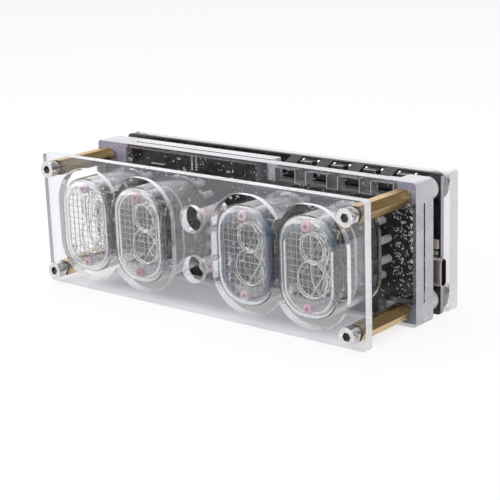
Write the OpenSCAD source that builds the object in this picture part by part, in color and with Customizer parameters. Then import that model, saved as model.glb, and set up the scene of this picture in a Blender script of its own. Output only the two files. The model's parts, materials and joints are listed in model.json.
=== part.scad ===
// Desk clock with four cold-cathode digit tubes, held between clear plates.
// X runs to the right, Y to the back and Z up. The origin lies in the plane that the
// clock rests on, midway across the plates and midway through the front frame of the
// middle stack, which carries the tube board.

/* [Plates] */
// Width of every clear plate
plate_w = 130; // [126:1:150]
// Height of every clear plate
plate_h = 44; // [43:0.5:50]
// Corner radius of the plates
plate_corner = 1.2; // [0.5:0.1:2.5]
// Thickness of the front panel
front_t = 3; // [2:0.5:4]
// Thickness of the front frame of the middle stack
mid_front_t = 4; // [3:0.5:5]
// Thickness of the rear frame of the middle stack
mid_rear_t = 4.3; // [3:0.1:5]
// Thickness of the rear cover
rear_t = 4.6; // [3:0.1:6]
// Distance of the screws from the plate edges
screw_inset = 4.7; // [4.5:0.1:6]

/* [Spacing] */
// Length of the hexagonal standoffs
standoff_len = 22.6; // [21.6:0.2:26]
// Distance across the flats of a standoff
standoff_af = 5; // [4.5:0.5:6]
// Gap between the middle stack and the main board
board_gap = 5; // [4.5:0.5:7]
// Gap between the main board and the rear cover
rear_gap = 2.5; // [2:0.5:4]
// Diameter of the spacers in front of the main board
spacer_d = 7; // [6:0.5:8]
// Diameter of the washers behind the main board
washer_d = 9; // [7:0.5:9.2]

/* [Boards] */
// Thickness of the tube board
tube_board_t = 1; // [0.8:0.2:1.2]
// Thickness of the main board
board_t = 1.6; // [1:0.2:2]
// Distance of the board edges from the plate edges
board_inset = 0.5; // [0.3:0.1:1]
// Distance of the main board's top and bottom edges from the plate edges
main_board_gap = 0.1; // [0.05:0.05:0.5]

/* [Tubes] */
// Width of a tube
tube_w = 21; // [19:0.5:21.5]
// Height of a tube
tube_h = 31; // [29:0.5:32]
// Corner radius of the tube outline
tube_corner = 9.4; // [7:0.2:9.4]
// Depth of the glass
tube_len = 24.2; // [23:0.1:24.6]
// How far the glass stands out of the front panel
tube_proud = 3; // [2:0.5:4]
// Distance between the two tubes of a pair
tube_pitch = 23.6; // [23.4:0.1:25]
// Distance of a pair's centre from the middle of the clock
pair_x = 33.5; // [33:0.1:35]
// Wall thickness of the glass
glass_t = 1; // [0.8:0.1:1.2]
// Gap between a tube and the edge of the panel opening
opening_gap = 3; // [2.4:0.1:3.2]
// Height of a numeral
numeral_h = 19.2; // [17:0.2:20]
// Width of a numeral in its upper half
numeral_w = 8.8; // [8:0.2:9.2]
// Width of the numeral wire
wire_w = 0.5; // [0.35:0.05:0.6]
// Distance between numerals along the depth
numeral_pitch = 1.05; // [0.9:0.05:1.1]

/* [Colon lamps] */
// Diameter of the lamp holes in the panel
lamp_hole_d = 8.5; // [7:0.5:10]
// Distance between the two lamps
lamp_pitch = 16; // [14:0.5:18]
// Diameter of a lamp bulb
lamp_d = 5; // [4:0.5:6]
// Length of a lamp bulb
lamp_len = 11; // [9:0.5:13]

/* [Buttons] */
// Position of the first button from the middle of the clock
button_x = 16.9; // [16:0.1:18]
// Distance between buttons
button_pitch = 12.1; // [12:0.1:12.4]
// Height of the button centres
button_z = 41; // [40:0.2:41.2]
// Width of a switch body
switch_w = 4.5; // [4:0.1:5]
// Depth of a switch body
switch_t = 3.2; // [2.5:0.1:3.4]
// Travel of a button
button_travel = 0.25; // [0.1:0.05:0.3]

/* [Power inlet] */
// Height of the centre of the inlet
inlet_z = 14.35; // [12:0.05:20]
// Long side of the inlet
inlet_h = 8.94; // [8.9:0.02:9]
// Short side of the inlet
inlet_w = 3.26; // [3.2:0.02:3.3]
// Depth of the inlet shell
inlet_len = 7.35; // [7:0.05:8]
// How far the inlet stands out past the plates
inlet_proud = 1.5; // [0:0.1:2]

/* [Hidden] */
$fn = 48;
cut = 0.02;
screw_r = 1.5;
screw_hole_r = 1.6;
screw_head_r = 2.75;
screw_head_t = 3;
socket_af = 2.5;
screw_bite = 6;

y_front = -front_t - standoff_len - mid_front_t / 2;
y_standoff = y_front + front_t;
y_mid_front = y_standoff + standoff_len;
y_tube_board = y_mid_front + mid_front_t;
y_mid_rear = y_tube_board + tube_board_t;
y_gap = y_mid_rear + mid_rear_t;
y_board = y_gap + board_gap;
y_washer = y_board + board_t;
y_rear = y_washer + rear_gap;
y_end = y_rear + rear_t;

screw_x = plate_w / 2 - screw_inset;
screw_low = screw_inset;
screw_high = plate_h - screw_inset;
boss_r = 5.3;
rim_front = 1.2;
rim_rear = 5.2;
block_corner_w = 13.4;
block_corner_h = 7.1;

tube_z = plate_h / 2;
tube_xs = [-pair_x - tube_pitch / 2, -pair_x + tube_pitch / 2,
           pair_x - tube_pitch / 2, pair_x + tube_pitch / 2];
y_tube = y_front - tube_proud;
y_tube_end = y_tube + tube_len;
glass_round = 2.4;
base_t = 1.6;
y_base = y_tube_end - base_t;

numeral_t = 0.3;
numeral_first = 4.2;
post_z = 12.2;
post_r = 0.4;
bead_r = 1.25;
numeral_order = [3, 8, 9, 4, 0, 5, 7, 2, 6, 1];
y_numerals = y_tube + numeral_first;
mesh_w = 17.2;
mesh_h = 27;
mesh_r = 7.5;
mesh_t = 0.25;
mesh_rim = 0.7;
mesh_wire = 0.18;
mesh_cell = 1.8;
y_mesh = y_numerals - 1.4;
y_screen = y_numerals + len(numeral_order) * numeral_pitch + 0.2;

stem_r = 1.6;
stem_len = 4.1;
pin_count = 12;
pin_r = 0.5;
pin_rx = 7.8;
pin_rz = 12;
socket_r = 1.2;
socket_len = 6;
y_socket = y_tube_board - socket_len;
tail_r = 0.4;
tail_len = 1;

button_count = 4;
button_window_w = 8;
button_window_h = 4.3;
button_window_z = 38.5;
button_bar = 2.7;
notch_left = button_x - 8.7;
notch_right = button_x + 3 * button_pitch + 3.6;
notch_z = 37.8;
window_end = notch_left - 3;
board_cutout_w = 12.2;
board_cutout_h = 7;
pad_w = board_cutout_w - 0.2;
pad_h = board_cutout_h - 0.2;
plunger_r = 1.1;
plunger_flange_r = 1.5;
plunger_out = 1.1;
y_switch = y_board - switch_t;
cover_t = 0.2;
dome_r = 1.6;
dome_seat = 2.18;

y_inlet = y_board - inlet_w / 2;
inlet_end = plate_w / 2 + inlet_proud;
inlet_wall = 0.3;

// ---------- shapes shared by the sub-parts ----------

// Flat sheet in the XZ plane, drawn as a 2D outline, from y to y + t
module sheet(y, t) {
    translate([0, y + t, 0]) rotate([90, 0, 0]) linear_extrude(t) children();
}

// Round bar along Y
module bar_y(y, len, r) {
    translate([0, y, 0]) rotate([-90, 0, 0]) cylinder(h = len, r = r);
}

module rounded_rect(w, h, r) {
    square([w - 2 * r, h], center = true);
    square([w, h - 2 * r], center = true);
    for (sx = [-1, 1], sz = [-1, 1])
        translate([sx * (w / 2 - r), sz * (h / 2 - r)]) circle(r);
}

module screw_places() {
    for (x = [-screw_x, screw_x], z = [screw_low, screw_high])
        translate([x, z]) children();
}

module plate_outline() {
    difference() {
        translate([0, plate_h / 2]) rounded_rect(plate_w, plate_h, plate_corner);
        screw_places() circle(screw_hole_r);
    }
}

// Block with its own centre in X and Z, standing on a board at y and pointing to -Y
module part_on_board(x, z, w, h, t, y = y_board) {
    translate([x - w / 2, y - t, z - h / 2]) cube([w, t, h]);
}

// ---------- plates and frames ----------

module tube_openings() {
    for (side = [-1, 1], k = [-1, 1])
        translate([side * pair_x + k * tube_pitch / 2, tube_z])
            rounded_rect(tube_w + 2 * opening_gap, tube_h + 2 * opening_gap,
                         tube_corner + opening_gap);
}

// Clear front panel: two double openings that follow the tube outlines, and two lamp holes
module front_panel() {
    color([0.86, 0.87, 0.92, 0.5])
        sheet(y_front, front_t) difference() {
            plate_outline();
            tube_openings();
            for (k = [-1, 1])
                translate([0, tube_z + k * lamp_pitch / 2]) circle(lamp_hole_d / 2);
        }
}

// Window of a middle frame with a rim all round. Its top is lower on the right, below the
// buttons.
module frame_window(rim, low_top, high_right) {
    translate([rim - plate_w / 2, rim]) square([plate_w - 2 * rim, low_top - rim]);
    translate([rim - plate_w / 2, rim]) square([high_right + plate_w / 2 - rim, plate_h - 2 * rim]);
}

module plate_corners(w, h) {
    for (sx = [-1, 1], sz = [-1, 1])
        translate([sx * plate_w / 2, plate_h / 2 + sz * plate_h / 2])
            square([2 * w, 2 * h], center = true);
}

// Front frame in the XZ plane: a thin rim with a block in each corner, and four button
// windows along the top right
module front_frame_outline() {
    difference() {
        plate_outline();
        difference() {
            frame_window(rim_front, button_window_z - button_bar, window_end);
            plate_corners(block_corner_w, block_corner_h);
        }
        for (k = [0 : button_count - 1])
            translate([button_x + k * button_pitch - button_window_w / 2, button_window_z])
                square([button_window_w, button_window_h]);
    }
}

// Rear frame in the XZ plane: a wide rim, and one notch in the top edge for a fingertip
module rear_frame_outline() {
    difference() {
        plate_outline();
        difference() {
            frame_window(rim_rear, notch_z - button_bar, window_end);
            screw_places() circle(boss_r);
        }
        translate([notch_left, notch_z]) square([notch_right - notch_left, plate_h]);
    }
}

// Each frame has pads in its corners, where the two meet past the tube board
module mid_frame_front() {
    color([0.88, 0.89, 0.93, 0.5]) {
        sheet(y_mid_front, mid_front_t) front_frame_outline();
        sheet(y_tube_board, tube_board_t / 2) intersection() {
            front_frame_outline();
            plate_corners(pad_w, pad_h);
        }
    }
}

module mid_frame_rear() {
    color([0.84, 0.85, 0.88, 0.5]) {
        sheet(y_mid_rear, mid_rear_t) rear_frame_outline();
        sheet(y_mid_rear - tube_board_t / 2, tube_board_t / 2) intersection() {
            rear_frame_outline();
            plate_corners(pad_w, pad_h);
        }
    }
}

// Clear rear cover
module rear_cover() {
    color([0.9, 0.9, 0.93, 0.5]) sheet(y_rear, rear_t) plate_outline();
}

// ---------- fasteners ----------

// Socket-head screw along +Y, head at the front, its bearing face at y = 0
module socket_screw(len) {
    difference() {
        union() {
            bar_y(-screw_head_t, screw_head_t, screw_head_r);
            bar_y(-cut, len + cut, screw_r);
        }
        translate([0, -screw_head_t - cut, 0]) rotate([-90, 0, 0])
            cylinder(h = 1.6, r = socket_af / sqrt(3), $fn = 6);
    }
}

module front_screws() {
    color([0.82, 0.82, 0.83])
        for (x = [-screw_x, screw_x], z = [screw_low, screw_high])
            translate([x, y_front, z]) socket_screw(front_t + screw_bite);
}

module rear_screws() {
    shank = y_end - y_mid_front + screw_bite;
    color([0.82, 0.82, 0.83])
        for (x = [-screw_x, screw_x], z = [screw_low, screw_high])
            translate([x, y_end, z]) rotate([0, 0, 180]) socket_screw(shank);
}

// Hexagonal brass standoff with a flat on top, tapped right through
module standoff(x, z) {
    color([0.72, 0.53, 0.28])
        translate([x, y_standoff, z]) difference() {
            rotate([-90, 0, 0]) cylinder(h = standoff_len, r = standoff_af / sqrt(3), $fn = 6);
            bar_y(-cut, standoff_len + 2 * cut, screw_r + 0.03);
            for (y = [-cut, standoff_len - 0.4])
                bar_y(y, 0.4 + cut, screw_hole_r + 0.15);
        }
}

module standoff_top_left() { standoff(-screw_x, screw_high); }
module standoff_top_right() { standoff(screw_x, screw_high); }
module standoff_bottom_left() { standoff(-screw_x, screw_low); }
module standoff_bottom_right() { standoff(screw_x, screw_low); }

module ring_spacers(y, t, d) {
    for (x = [-screw_x, screw_x], z = [screw_low, screw_high])
        translate([x, 0, z]) difference() {
            bar_y(y, t, d / 2);
            bar_y(y - cut, t + 2 * cut, screw_hole_r);
        }
}

module board_spacers() { color([0.93, 0.93, 0.92]) ring_spacers(y_gap, board_gap, spacer_d); }
module rear_washers() { color([0.9, 0.9, 0.92, 0.6]) ring_spacers(y_washer, rear_gap, washer_d); }

// ---------- tubes ----------

module tube_outline(inset) {
    rounded_rect(tube_w - 2 * inset, tube_h - 2 * inset, tube_corner - inset, $fn = 32);
}

// Solid with the tube outline, rounded at the front edge, from y to y_stop
module rounded_front(y, y_stop, inset, round) {
    hull() {
        for (a = [0 : 22.5 : 90])
            sheet(y + round * (1 - sin(a)), cut) tube_outline(inset + round * (1 - cos(a)));
        sheet(y_stop - cut, cut) tube_outline(inset);
    }
}

module tube_glass(x) {
    color([0.9, 0.92, 0.95, 0.4])
        translate([x, 0, tube_z]) difference() {
            rounded_front(y_tube, y_tube_end, 0, glass_round);
            rounded_front(y_tube + glass_t, y_tube_end + 1, glass_t, glass_round - glass_t);
        }
}

// Wire from p to q in the plane of the numeral
module stroke(p, q) {
    d = q - p;
    translate(p) rotate(atan2(d[1], d[0])) translate([0, -wire_w / 2]) square([norm(d), wire_w]);
    for (c = [p, q]) translate(c) circle(wire_w / 2, $fn = 16);
}

// Round wire of radius r about c, kept on the side of the box that spans lo to hi
module bend(c, r, lo, hi) {
    intersection() {
        translate(c) difference() {
            circle(r + wire_w / 2);
            circle(r - wire_w / 2);
        }
        translate(lo) square(hi - lo);
    }
}

// The ten numerals as bent wire: n from 0 to 9, centred on the post line
module numeral_outline(n) {
    h = numeral_h / 2;
    up = numeral_w / 2;
    low = h - up;
    waist = h - 2 * up;
    top = [0, h - up];
    foot = [0, low - h];
    if (n == 0) {
        bend(top, up, [-up - 1, top[1] - cut], [up + 1, h + 1]);
        bend(foot, low, [-low - 1, -h - 1], [low + 1, foot[1] + cut]);
        for (s = [-1, 1]) stroke([s * low, foot[1]], [s * up, top[1]]);
    }
    if (n == 1) stroke([0, -h], [0, h]);
    if (n == 2) {
        bend(top, up, [-up - 1, top[1] - cut], [up + 1, h + 1]);
        stroke([up, top[1]], [-low, -h]);
        stroke([-low, -h], [low, -h]);
    }
    if (n == 3) {
        bend(top, up, [-up * 0.8, -h], [up + 1, h + 1]);
        bend(foot, low, [-low * 0.8, -h - 1], [low + 1, h]);
    }
    if (n == 4) {
        stroke([0, h], [-low, -h / 3]);
        stroke([-low, -h / 3], [low, -h / 3]);
        stroke([0, h], [0, -h]);
    }
    if (n == 5) {
        stroke([-up, h], [up, h]);
        stroke([-up, h], [-up, waist]);
        stroke([-up, waist], [0, waist]);
        bend(foot, low, [0, -h - 1], [low + 1, h]);
        bend(foot, low, [-low - 1, -h - 1], [cut, foot[1]]);
    }
    if (n == 6) {
        bend(foot, low, [-low - 1, -h - 1], [low + 1, h]);
        stroke([-low, foot[1]], [0, h]);
    }
    if (n == 7) {
        stroke([-up, h], [up, h]);
        stroke([up, h], [0, -h]);
    }
    if (n == 8) {
        bend(top, up, [-up - 1, -h], [up + 1, h + 1]);
        bend(foot, low, [-low - 1, -h - 1], [low + 1, h]);
    }
    if (n == 9) {
        bend(top, up, [-up - 1, -h], [up + 1, h + 1]);
        stroke([up, top[1]], [0, -h]);
    }
}

// A numeral with a tab and an eye at each end, threaded on the two posts
module numeral(n) {
    difference() {
        union() {
            numeral_outline(n);
            for (s = [-1, 1]) {
                stroke([0, s * numeral_h / 2], [0, s * (post_z - 0.6)]);
                translate([0, s * post_z]) circle(0.85);
            }
        }
        for (s = [-1, 1]) translate([0, s * post_z]) circle(post_r + 0.05);
    }
}

module numerals(x) {
    color([0.62, 0.6, 0.58])
        for (k = [0 : len(numeral_order) - 1])
            translate([x, 0, tube_z])
                sheet(y_numerals + k * numeral_pitch, numeral_t) numeral(numeral_order[k]);
}

// Rim and grid of fine wires, with an eye at each end for the posts
module mesh_sheet(y, cell) {
    wires_across = floor((mesh_w / 2 - mesh_rim) / cell);
    wires_up = floor((mesh_h / 2 - mesh_rim) / cell);
    translate([0, 0, tube_z]) sheet(y, mesh_t) difference() {
        union() {
            difference() {
                rounded_rect(mesh_w, mesh_h, mesh_r);
                rounded_rect(mesh_w - 2 * mesh_rim, mesh_h - 2 * mesh_rim, mesh_r - mesh_rim);
            }
            intersection() {
                rounded_rect(mesh_w - mesh_rim, mesh_h - mesh_rim, mesh_r - mesh_rim / 2);
                union() {
                    for (k = [-wires_across : wires_across])
                        translate([k * cell, 0]) square([mesh_wire, mesh_h], center = true);
                    for (k = [-wires_up : wires_up])
                        translate([0, k * cell]) square([mesh_w, mesh_wire], center = true);
                }
            }
            for (s = [-1, 1]) translate([0, s * post_z]) circle(0.95);
        }
        for (s = [-1, 1]) translate([0, s * post_z]) circle(post_r + 0.05);
    }
}

module anode_mesh(x) {
    color([0.55, 0.56, 0.6]) translate([x, 0, 0]) {
        mesh_sheet(y_mesh, mesh_cell);
        mesh_sheet(y_screen, 2 * mesh_cell);
    }
}

// Two posts from the base to the mesh, with a ceramic bead between neighbours
module ceramic_beads(x) {
    last = len(numeral_order) - 1;
    gap = numeral_pitch - numeral_t;
    for (s = [-1, 1]) translate([x, 0, tube_z + s * post_z]) {
        color([0.6, 0.6, 0.6]) bar_y(y_mesh - 0.9, y_base - y_mesh + 0.9, post_r);
        color([0.86, 0.66, 0.6]) {
            bead(y_mesh - 0.7, 0.7);
            bead(y_mesh + mesh_t, y_numerals - y_mesh - mesh_t);
            for (k = [0 : last - 1])
                bead(y_numerals + k * numeral_pitch + numeral_t, gap);
            bead(y_screen + mesh_t, 2);
        }
    }
}

module bead(y, len) {
    difference() {
        bar_y(y, len, bead_r);
        bar_y(y - cut, len + 2 * cut, post_r);
    }
}

function pin_place(k) = [pin_rx * sin((k + 0.5) * 360 / pin_count),
                         pin_rz * cos((k + 0.5) * 360 / pin_count)];

// Glass stem behind the base, drawn to a tip where the tube was pumped and sealed
module pump_stem() {
    rotate_extrude()
        polygon([[0, 0], [stem_r, 0], [stem_r, stem_len * 0.6], [stem_r * 0.7, stem_len * 0.85],
                 [stem_r * 0.25, stem_len], [0, stem_len]]);
}

// Glass base that closes the tube, with its ring of pins and the sealed pump stem
module tube_base(x) {
    translate([x, 0, tube_z]) {
        color([0.88, 0.9, 0.93, 0.6]) {
            sheet(y_base, base_t) rounded_rect(tube_w - 2 * glass_t - 0.1,
                tube_h - 2 * glass_t - 0.1, tube_corner - glass_t - 0.05);
            translate([0, y_tube_end - cut, 0]) rotate([-90, 0, 0]) pump_stem();
        }
        color([0.7, 0.7, 0.7])
            for (k = [0 : pin_count - 1]) {
                p = pin_place(k);
                translate([p[0], 0, p[1]]) bar_y(y_base - 1.2, y_tube_board - y_base, pin_r);
            }
    }
}

module tube_glass_1() { tube_glass(tube_xs[0]); }
module tube_glass_2() { tube_glass(tube_xs[1]); }
module tube_glass_3() { tube_glass(tube_xs[2]); }
module tube_glass_4() { tube_glass(tube_xs[3]); }
module anode_mesh_1() { anode_mesh(tube_xs[0]); }
module anode_mesh_2() { anode_mesh(tube_xs[1]); }
module anode_mesh_3() { anode_mesh(tube_xs[2]); }
module anode_mesh_4() { anode_mesh(tube_xs[3]); }
module numerals_1() { numerals(tube_xs[0]); }
module numerals_2() { numerals(tube_xs[1]); }
module numerals_3() { numerals(tube_xs[2]); }
module numerals_4() { numerals(tube_xs[3]); }
module ceramic_beads_1() { ceramic_beads(tube_xs[0]); }
module ceramic_beads_2() { ceramic_beads(tube_xs[1]); }
module ceramic_beads_3() { ceramic_beads(tube_xs[2]); }
module ceramic_beads_4() { ceramic_beads(tube_xs[3]); }
module tube_base_1() { tube_base(tube_xs[0]); }
module tube_base_2() { tube_base(tube_xs[1]); }
module tube_base_3() { tube_base(tube_xs[2]); }
module tube_base_4() { tube_base(tube_xs[3]); }

// Turned pin sockets soldered in the tube board
module tube_sockets() {
    color([0.78, 0.74, 0.62])
        for (x = tube_xs, k = [0 : pin_count - 1]) {
            p = pin_place(k);
            translate([x + p[0], 0, tube_z + p[1]]) {
                difference() {
                    bar_y(y_socket, socket_len, socket_r);
                    bar_y(y_socket - cut, socket_len - 0.6 + cut, pin_r + 0.05);
                }
                bar_y(y_tube_board - cut, tube_board_t + tail_len, tail_r);
            }
        }
}

// ---------- colon lamps and lights ----------

lamp_zs = [tube_z - lamp_pitch / 2, tube_z + lamp_pitch / 2];
y_lamp = y_front + 4.2;
lamp_wall = 0.5;
lamp_plug = 2;
rod_len = 6;
rod_r = 0.45;
lead_x = 1;
lead_r = 0.28;
lead_hole_r = 0.3;

// Neon lamp: glass bulb with a round tip
module colon_lamp_glass() {
    r = lamp_d / 2;
    color([0.92, 0.9, 0.9, 0.5])
        for (z = lamp_zs) translate([0, 0, z]) difference() {
            union() {
                translate([0, y_lamp + r, 0]) sphere(r);
                bar_y(y_lamp + r, lamp_len - r, r);
            }
            translate([0, y_lamp + r, 0]) sphere(r - lamp_wall);
            bar_y(y_lamp + r, lamp_len - r - lamp_plug, r - lamp_wall);
            for (s = [-1, 1])
                translate([s * lead_x, 0, 0]) bar_y(y_lamp + 4, lamp_len, lead_hole_r);
        }
}

// Two rods inside each bulb that run on as leads into the tube board
module colon_lamp_electrodes() {
    lead_start = y_lamp + 7;
    color([0.75, 0.62, 0.58])
        for (z = lamp_zs, s = [-1, 1]) translate([s * lead_x, 0, z]) {
            bar_y(y_lamp + 2.2, rod_len, rod_r);
            bar_y(lead_start, y_mid_rear + 0.8 - lead_start, lead_r);
        }
}

// One light under each tube, on the front of the tube board
module backlight_leds() {
    color([0.85, 0.88, 0.95])
        for (x = tube_xs) {
            part_on_board(x, tube_z - 6.5, 3.5, 3.5, 1.4, y_tube_board);
            translate([x, y_tube_board - 1.4, tube_z - 6.5]) rotate([90, 0, 0])
                cylinder(h = 0.7, r1 = 1.4, r2 = 0.9);
        }
}

// ---------- boards ----------

header_rows = 2;
header_cols = 8;
header_pitch = 2.54;
header_x = -2;
header_z = 22;

module header_places() {
    for (i = [0 : header_cols - 1], j = [0 : header_rows - 1])
        translate([header_x + (i - (header_cols - 1) / 2) * header_pitch, 0,
                   header_z + (j - 0.5) * header_pitch]) children();
}

// Board that carries the tubes, clamped between the two middle frames
module tube_board() {
    edge = board_inset;
    color([0.06, 0.06, 0.07])
        translate([0, y_mid_rear, 0]) rotate([90, 0, 0]) difference() {
            linear_extrude(tube_board_t) difference() {
                translate([-plate_w / 2 + edge, edge])
                    square([plate_w - 2 * edge, plate_h - 2 * edge]);
                plate_corners(board_cutout_w, board_cutout_h);
                translate([notch_left, notch_z]) square([plate_w, plate_h]);
            }
            for (x = tube_xs, k = [0 : pin_count - 1]) {
                p = pin_place(k);
                translate([x + p[0], tube_z + p[1], -cut])
                    cylinder(h = tube_board_t + 2 * cut, r = tail_r + 0.05, $fn = 24);
            }
            for (z = lamp_zs, s = [-1, 1])
                translate([s * lead_x, z, -cut])
                    cylinder(h = tube_board_t + 2 * cut, r = 0.33, $fn = 24);
            for (i = [0 : header_cols - 1], j = [0 : header_rows - 1])
                translate([header_x + (i - (header_cols - 1) / 2) * header_pitch,
                           header_z + (j - 0.5) * header_pitch, -cut])
                    cylinder(h = tube_board_t + 2 * cut, r = 0.48, $fn = 24);
        }
}

// Main board: nearly as tall as the plates, and set in a little at the sides
module main_board() {
    color([0.05, 0.05, 0.06])
        sheet(y_board, board_t) difference() {
            translate([0, plate_h / 2])
                rounded_rect(plate_w - 2 * board_inset, plate_h - 2 * main_board_gap, plate_corner);
            screw_places() circle(screw_hole_r);
        }
}

// Female header on the main board, and the pins that come from the tube board
header_body_t = 6;

module board_header() {
    color([0.08, 0.08, 0.08]) difference() {
        part_on_board(header_x, header_z, header_cols * header_pitch, header_rows * header_pitch,
                      header_body_t);
        header_places() bar_y(y_board - header_body_t - cut, header_body_t - 1, 0.45);
    }
}

module header_pins() {
    color([0.8, 0.68, 0.38])
        header_places() bar_y(y_tube_board - 1, y_board - 1.6 - y_tube_board, 0.4);
    color([0.08, 0.08, 0.08]) difference() {
        part_on_board(header_x, header_z, header_cols * header_pitch, header_rows * header_pitch,
                      2.2, y_mid_rear + 2.2);
        header_places() bar_y(y_mid_rear - cut, 3, 0.4);
    }
}

// ---------- power inlet ----------

module inlet_outline(inset) {
    rounded_rect(inlet_w - 2 * inset, inlet_h - 2 * inset, inlet_w / 2 - inset - 0.02);
}

module inlet_solid(x, len, inset) {
    translate([x, y_inlet, inlet_z]) rotate([90, 0, 90]) linear_extrude(len)
        inlet_outline(inset);
}

// Metal shell of the inlet, closed at its inner end
module inlet_shell() {
    color([0.75, 0.74, 0.72]) difference() {
        inlet_solid(inlet_end - inlet_len, inlet_len, 0);
        inlet_solid(inlet_end - inlet_len + 0.8, inlet_len, inlet_wall);
    }
}

// Insulator tongue that carries the contacts, with its block at the inner end
module inlet_tongue() {
    color([0.25, 0.25, 0.27]) {
        translate([inlet_end - inlet_len + 2.4, y_inlet - 0.35, inlet_z - 3.35])
            cube([inlet_len - 3.1, 0.7, 6.7]);
        inlet_solid(inlet_end - inlet_len + 0.8, 1.7, inlet_wall);
    }
}

// ---------- buttons ----------

module button_places() {
    for (k = [0 : button_count - 1])
        translate([button_x + k * button_pitch, 0, button_z]) children();
}

// Plastic body of each switch, with a well for the dome and the plunger foot
module switch_bodies() {
    color([0.09, 0.09, 0.1]) button_places() {
        difference() {
            part_on_board(0, 0, switch_w, switch_w, switch_t);
            bar_y(y_switch - cut, dome_seat + cut, dome_r + 0.15);
        }
    }
    color([0.85, 0.85, 0.85]) button_places()
        for (sx = [-1, 1], sz = [-1, 1])
            part_on_board(sx * 2.95, sz * 1.5, 1.4, 0.7, 0.35);
}

// Thin metal plate over each switch, which keeps the plunger in
module switch_covers() {
    color([0.8, 0.8, 0.82]) button_places() difference() {
        part_on_board(0, 0, switch_w, switch_w, cover_t, y_switch);
        bar_y(y_switch - cover_t - cut, cover_t + 2 * cut, plunger_r + 0.08);
    }
}

// Domed snap spring at the bottom of each well
module switch_domes() {
    color([0.7, 0.7, 0.7]) button_places()
        translate([0, y_switch + dome_seat, 0]) rotate([90, 0, 0]) rotate_extrude()
            polygon([[0, 0.82], [0.8, 0.66], [dome_r, 0], [dome_r, 0.14], [0.85, 0.78], [0, 0.94]]);
}

// Plunger with its foot under the cover plate
module button(k) {
    color([0.07, 0.07, 0.07])
        translate([button_x + k * button_pitch, 0, button_z]) {
            bar_y(y_switch - cover_t - plunger_out, cover_t + plunger_out + 0.3, plunger_r);
            bar_y(y_switch + 0.03, 0.9, plunger_flange_r);
        }
}

module button_1() { button(0); }
module button_2() { button(1); }
module button_3() { button(2); }
module button_4() { button(3); }

// ---------- parts on the main board ----------

block_w = 4.6;
block_h = 6.5;
block_t = 3.5;
block_slope = 1;

// Black block beside each switch, with a sloped upper side
module optocouplers() {
    top = plate_h - main_board_gap;
    color([0.07, 0.07, 0.08])
        for (k = [0 : button_count - 1])
            translate([button_x + (k - 0.5) * button_pitch - block_w / 2, 0, 0])
                rotate([90, 0, 90]) linear_extrude(block_w)
                    polygon([[y_board, top - block_h], [y_board, top],
                             [y_board - block_t + 1, top - block_slope],
                             [y_board - block_t, top - block_slope - 0.6],
                             [y_board - block_t, top - block_h + 0.6]]);
}

// Driver chip with two rows of legs
module chip(x, z, w, h, legs, t = 1.5) {
    color([0.08, 0.08, 0.09])
        translate([x - w / 2, y_board - t - 0.1, z - h / 2]) cube([w, t, h]);
    color([0.8, 0.8, 0.8])
        for (i = [0 : legs - 1], s = [-1, 1])
            part_on_board(x + (i - (legs - 1) / 2) * 1.27, z + s * (h / 2 + 0.45), 0.4, 0.9, 0.3);
}

driver_xs = [-44, -30.5];
driver_z = 30;

module driver_chips() {
    for (x = driver_xs) chip(x, driver_z, 10, 4, 8);
}

processor_x = 18;
processor_z = 21;
processor_w = 7;
processor_legs = 8;
processor_pitch = 0.8;

module microcontroller() {
    reach = processor_w / 2 + 0.45;
    color([0.08, 0.08, 0.09])
        part_on_board(processor_x, processor_z, processor_w, processor_w, 1, y_board - 0.1);
    color([0.8, 0.8, 0.8])
        for (i = [0 : processor_legs - 1], s = [-1, 1]) {
            side = (i - (processor_legs - 1) / 2) * processor_pitch;
            part_on_board(processor_x + side, processor_z + s * reach, 0.35, 0.9, 0.25);
            part_on_board(processor_x + s * reach, processor_z + side, 0.9, 0.35, 0.25);
        }
}

clock_chip_x = -12;
crystal_x = -4.5;
clock_z = 14;

module clock_chip() {
    chip(clock_chip_x, clock_z, 5, 4, 4);
    color([0.8, 0.8, 0.82]) part_on_board(crystal_x, clock_z, 1.6, 5.6, 1.6);
}

cell_x = -38;
cell_z = 14.5;

module coin_cell() {
    color([0.78, 0.78, 0.78]) translate([cell_x, 0, cell_z]) bar_y(y_board - 2.6, 2, 6.25);
}

module coin_cell_holder() {
    color([0.1, 0.1, 0.1]) difference() {
        part_on_board(cell_x, cell_z, 16, 13.6, 3.2);
        translate([cell_x, 0, cell_z]) bar_y(y_board - 3.3, 2.72, 6.35);
    }
}

coil_x = 46;
coil_z = 26;
coil_r = 3.4;
coil_flange_r = 4.3;

module inductor() {
    color([0.16, 0.16, 0.17]) {
        part_on_board(coil_x, coil_z, 9, 9, 0.8);
        translate([coil_x, 0, coil_z]) {
            bar_y(y_board - 4.2, 3.4 + cut, coil_r);
            bar_y(y_board - 4.8, 0.6 + cut, coil_flange_r);
        }
    }
}

can_x = 28;
can_z = 12;
can_r = 4;
can_len = 13;
can_lead = 2.8;
can_lead_r = 0.3;

// Capacitor lying on the board, with its two leads bent down into it
module storage_capacitor() {
    axis_y = y_board - can_r - 0.05;
    color([0.12, 0.13, 0.2])
        translate([can_x, axis_y, can_z]) rotate([0, 90, 0]) cylinder(h = can_len, r = can_r);
    color([0.8, 0.8, 0.8])
        for (s = [-1, 1])
            translate([can_x - can_lead, axis_y, can_z + s * 1.75]) {
                rotate([0, 90, 0]) cylinder(h = can_lead, r = can_lead_r);
                rotate([-90, 0, 0]) cylinder(h = can_r + 0.05, r = can_lead_r);
            }
}

transistor_x = 34;
transistor_z = 27;

module power_transistor() {
    color([0.08, 0.08, 0.09])
        part_on_board(transistor_x, transistor_z, 6.6, 6.1, 2.2);
    color([0.8, 0.8, 0.8]) {
        part_on_board(transistor_x, transistor_z + 3.9, 5.3, 1.6, 0.6);
        for (s = [-1, 1])
            part_on_board(transistor_x + s * 2.28, transistor_z - 3.8, 0.7, 1.6, 0.5);
    }
}

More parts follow.
